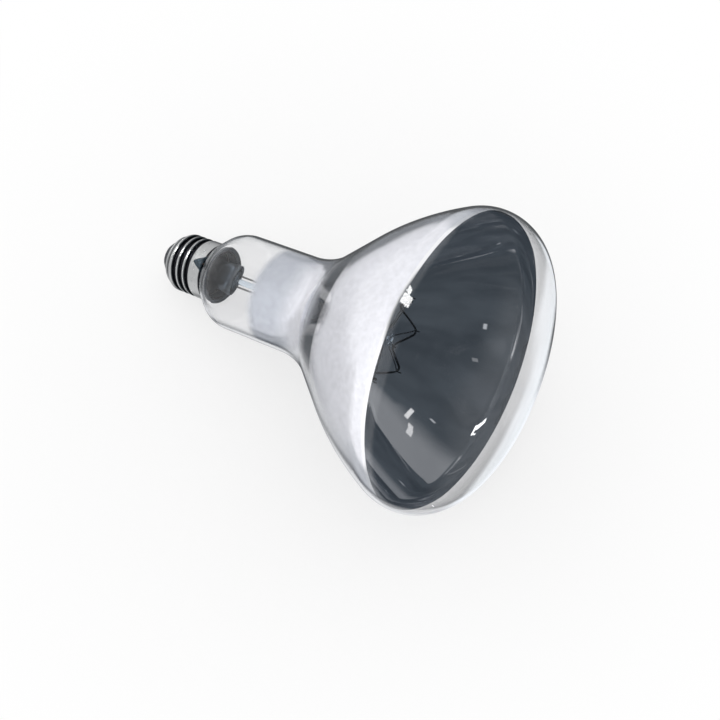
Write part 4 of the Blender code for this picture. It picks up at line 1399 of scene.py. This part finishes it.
class Studio(Graph):
    """The world's light: white all round, with the walls, cards and lamps that a mirror shows."""

    def __init__(self, world):
        world.use_nodes = True
        super().__init__(world.node_tree)
        self.place = self.node("ShaderNodeTexCoord").outputs["Generated"]

    def dot(self, vector):
        made = self.node("ShaderNodeVectorMath", self.place, tuple(vector), operation="DOT_PRODUCT")
        return Number(self, made.outputs["Value"])

    def card(self, azimuth, height, half_width, half_height, soft_across, soft_up, roll=0.0):
        """1 on a rectangle that faces the origin from a direction, 0 beside it."""
        azimuth, height = math.radians(azimuth), math.radians(height)
        way = polar(math.cos(height), azimuth, math.sin(height))
        side = Vector((-math.sin(azimuth), math.cos(azimuth), 0.0))
        side = Matrix.Rotation(math.radians(roll), 3, way) @ side
        upwards = way.cross(side)
        ahead = self.maths("MAXIMUM", self.dot(way), 0.05)
        mask = 1.0
        for across, half, soft in (
            (side, half_width, soft_across), (upwards, half_height, soft_up),
        ):
            reach = abs(self.dot(across)) / ahead / math.tan(math.radians(half))
            mask = mask * (1.0 - self.between(reach, 1.0 - soft, 1.0 + soft))
        return mask

    def with_cards(self, seen, cards):
        """The colour with cool grey cards laid over it."""
        for azimuth, height, wide, high, grey, soft_across, soft_up in cards.values():
            mask = self.card(azimuth, height, wide, high, soft_across, soft_up)
            seen = self.mix(mask, seen, [grey * part for part in COOL])
        return seen


class HEATBULB_OT_stage(bpy.types.Operator):
    """Makes the pale floor, the soft studio light and the camera"""

    bl_idname = "heat_bulb.stage"
    bl_label = "Studio"

    def execute(self, context):
        lamp = Lamp(context)
        self.camera(context, lamp)
        self.floor(lamp)
        self.world(context)
        context.scene.view_settings.view_transform = "Standard"
        cycles = context.scene.cycles
        cycles.max_bounces, cycles.glossy_bounces, cycles.transmission_bounces = 24, 10, 20
        return {"FINISHED"}

    def camera(self, context, lamp):
        data = bpy.data.cameras.new("camera")
        data.lens = CAMERA_LENS
        data.clip_start = 10.0 * MM
        camera = linked("camera", data)
        camera.location = lamp.axis.translation + Vector(CAMERA_FROM_FACE)
        camera.rotation_euler = CAMERA_TURN
        context.scene.camera = camera

    def floor(self, lamp):
        """A round table top, white at its rim, with the lamp's shadow; no reflection shows it."""
        bm = bmesh.new()
        bmesh.ops.create_circle(bm, cap_ends=True, segments=FLOOR_STEPS, radius=FLOOR_RADIUS)
        mesh = bpy.data.meshes.new("floor")
        bm.to_mesh(mesh)
        bm.free()
        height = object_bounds()[0][2] - 0.1 * MM
        floor = linked("floor", mesh)
        floor.location.z = height
        material = bpy.data.materials.new("floor")
        material.use_nodes = True
        graph = Graph(material.node_tree)
        shader = material.node_tree.nodes["Principled BSDF"]
        matt = {"Base Color": lamp.finish.floor, "Roughness": 0.8, "Specular IOR Level": 0.0}
        for key, value in matt.items():
            graph.fill(shader.inputs[key], value)
        glow = graph.node("ShaderNodeEmission", WHITE, 1.0)
        path = graph.node("ShaderNodeLightPath").outputs
        seen = graph.maths("MAXIMUM", path["Is Camera Ray"], path["Is Transmission Ray"])
        seen = graph.maths("MAXIMUM", seen, path["Is Glossy Ray"])
        x, y = graph.split(graph.node("ShaderNodeTexCoord").outputs["Object"])[:2]
        rim = graph.between(graph.maths("SQRT", x * x + y * y), GLOW_FROM, GLOW_TO)
        glowing = seen * (0.7 + rim * 0.3)
        top = graph.node("ShaderNodeMixShader", glowing, shader.outputs[0], glow.outputs[0])
        mirrored = graph.maths("GREATER_THAN", path["Glossy Depth"], 0.5)
        clear = graph.node("ShaderNodeBsdfTransparent")
        mix = graph.node("ShaderNodeMixShader", mirrored, top.outputs[0], clear.outputs[0])
        graph.fill(material.node_tree.nodes["Material Output"].inputs[0], mix.outputs[0])
        mesh.materials.append(material)
        floor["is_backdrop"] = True

    def world(self, context):
        """White for the camera and through clear glass; a reflection shows the studio instead."""
        world = bpy.data.worlds.new("studio")
        context.scene.world = world
        world.cycles.sampling_method = "NONE"
        studio = Studio(world)
        path = studio.node("ShaderNodeLightPath").outputs
        mirrored = studio.maths("GREATER_THAN", path["Glossy Depth"], 0.5)
        in_film = studio.maths("GREATER_THAN", path["Transmission Depth"], 2.5)
        outermost = studio.maths("LESS_THAN", path["Transmission Depth"], 0.5)
        first = studio.maths("LESS_THAN", path["Glossy Depth"], 1.5)
        film, sheen = self.film_studio(studio), self.sheen_studio(studio)
        seen = studio.mix(in_film, sheen, film)
        for lamps, shown in ((FILM_LAMPS, in_film), (GLASS_LAMPS, outermost)):
            for azimuth, height, wide, high, roll, strength in lamps.values():
                mask = studio.card(azimuth, height, wide, high, LAMP_EDGE, LAMP_EDGE, roll)
                seen = studio.mix(mask * first * shown, seen, [strength] * 3)
        back = world.node_tree.nodes["Background"]
        studio.fill(back.inputs["Color"], studio.mix(mirrored, WHITE, seen))
        studio.fill(back.inputs["Strength"], 1.0)

    def film_studio(self, studio):
        """What the mirror film shows: a white wall behind the cap, a dark room before the face."""
        x, y, z = studio.split(studio.place)
        clouds = studio.noise(2.2, 3.0)
        dark = studio.mix(studio.between(clouds, 0.35, 0.65), *FILM_ROOM)
        dark = studio.mix(1.0 - studio.between(z, -0.95, -0.6), dark, FILM_ROOM_FOOT)
        upper = studio.mix(studio.between(y, -0.7, 0.7), *UPPER_WALL)
        lower = studio.mix(studio.between(y, -0.1, 0.45), *LOWER_WALL)
        lower = studio.mix(studio.between(y, -0.35, -0.7), lower, NEAR_WALL)
        pale = studio.mix(studio.between(z, -0.45, -0.15), lower, upper)
        pale = studio.mix(1.0 - studio.between(z, -0.96, -0.74), pale, WALL_FOOT)
        away = studio.between(x + (clouds - 0.5) * 0.2, -0.25, -0.05)
        above = studio.between(z + (clouds - 0.5) * 0.1, 0.62, 0.76)
        room = studio.mix(studio.maths("MAXIMUM", away, above), pale, dark)
        return studio.with_cards(room, FILM_CARDS)

    def sheen_studio(self, studio):
        """What the outer glass and the cap show: a light wall, a dark room and a white table."""
        x, y, z = studio.split(studio.place)
        clouds = studio.noise(3.0, 3.0)
        room = studio.mix(studio.between(clouds, 0.35, 0.65), *SHEEN_WALL)
        away = studio.between(x + (clouds - 0.5) * 0.2, -0.48, -0.28)
        face_side, far_side = studio.between(x, -0.1, 0.1), studio.between(y, -0.52, -0.30)
        beside = studio.maths("MAXIMUM", far_side, face_side)
        above = studio.between(z, -0.96, -0.92)
        room = studio.mix(away * beside * above, room, SHEEN_ROOM)
        return studio.with_cards(room, SHEEN_CARDS)


class HEATBULB_PT_panel(bpy.types.Panel):
    """Lists the makers of all pieces"""

    bl_idname = "HEATBULB_PT_panel"
    bl_label = "Heat bulb"
    bl_space_type = "VIEW_3D"
    bl_region_type = "UI"
    bl_category = "Heat bulb"

    def draw(self, context):
        for operator in OPERATORS:
            self.layout.operator(operator.bl_idname)
        sizes = context.scene.heat_bulb
        for group in (sizes.bulb, sizes.cap, sizes.mount, sizes.finish):
            box = self.layout.box()
            for key in group.__annotations__:
                box.prop(group, key)


GROUPS = (BulbSizes, CapSizes, MountSizes, Finishes, HeatBulb)
OPERATORS = (
    HEATBULB_OT_glass, HEATBULB_OT_mirror, HEATBULB_OT_mount, HEATBULB_OT_filament,
    HEATBULB_OT_hooks, HEATBULB_OT_leads, HEATBULB_OT_shell, HEATBULB_OT_cap_end,
    HEATBULB_OT_stage,
)
CLASSES = GROUPS + OPERATORS + (HEATBULB_PT_panel,)


def register():
    for made in CLASSES:
        bpy.utils.register_class(made)
    bpy.types.Scene.heat_bulb = bpy.props.PointerProperty(type=HeatBulb)


def unregister():
    del bpy.types.Scene.heat_bulb
    for made in reversed(CLASSES):
        bpy.utils.unregister_class(made)


def main():
    register()
    for operator in OPERATORS:
        group, name = operator.bl_idname.split(".")
        getattr(getattr(bpy.ops, group), name)()


if __name__ == "__main__":
    main()
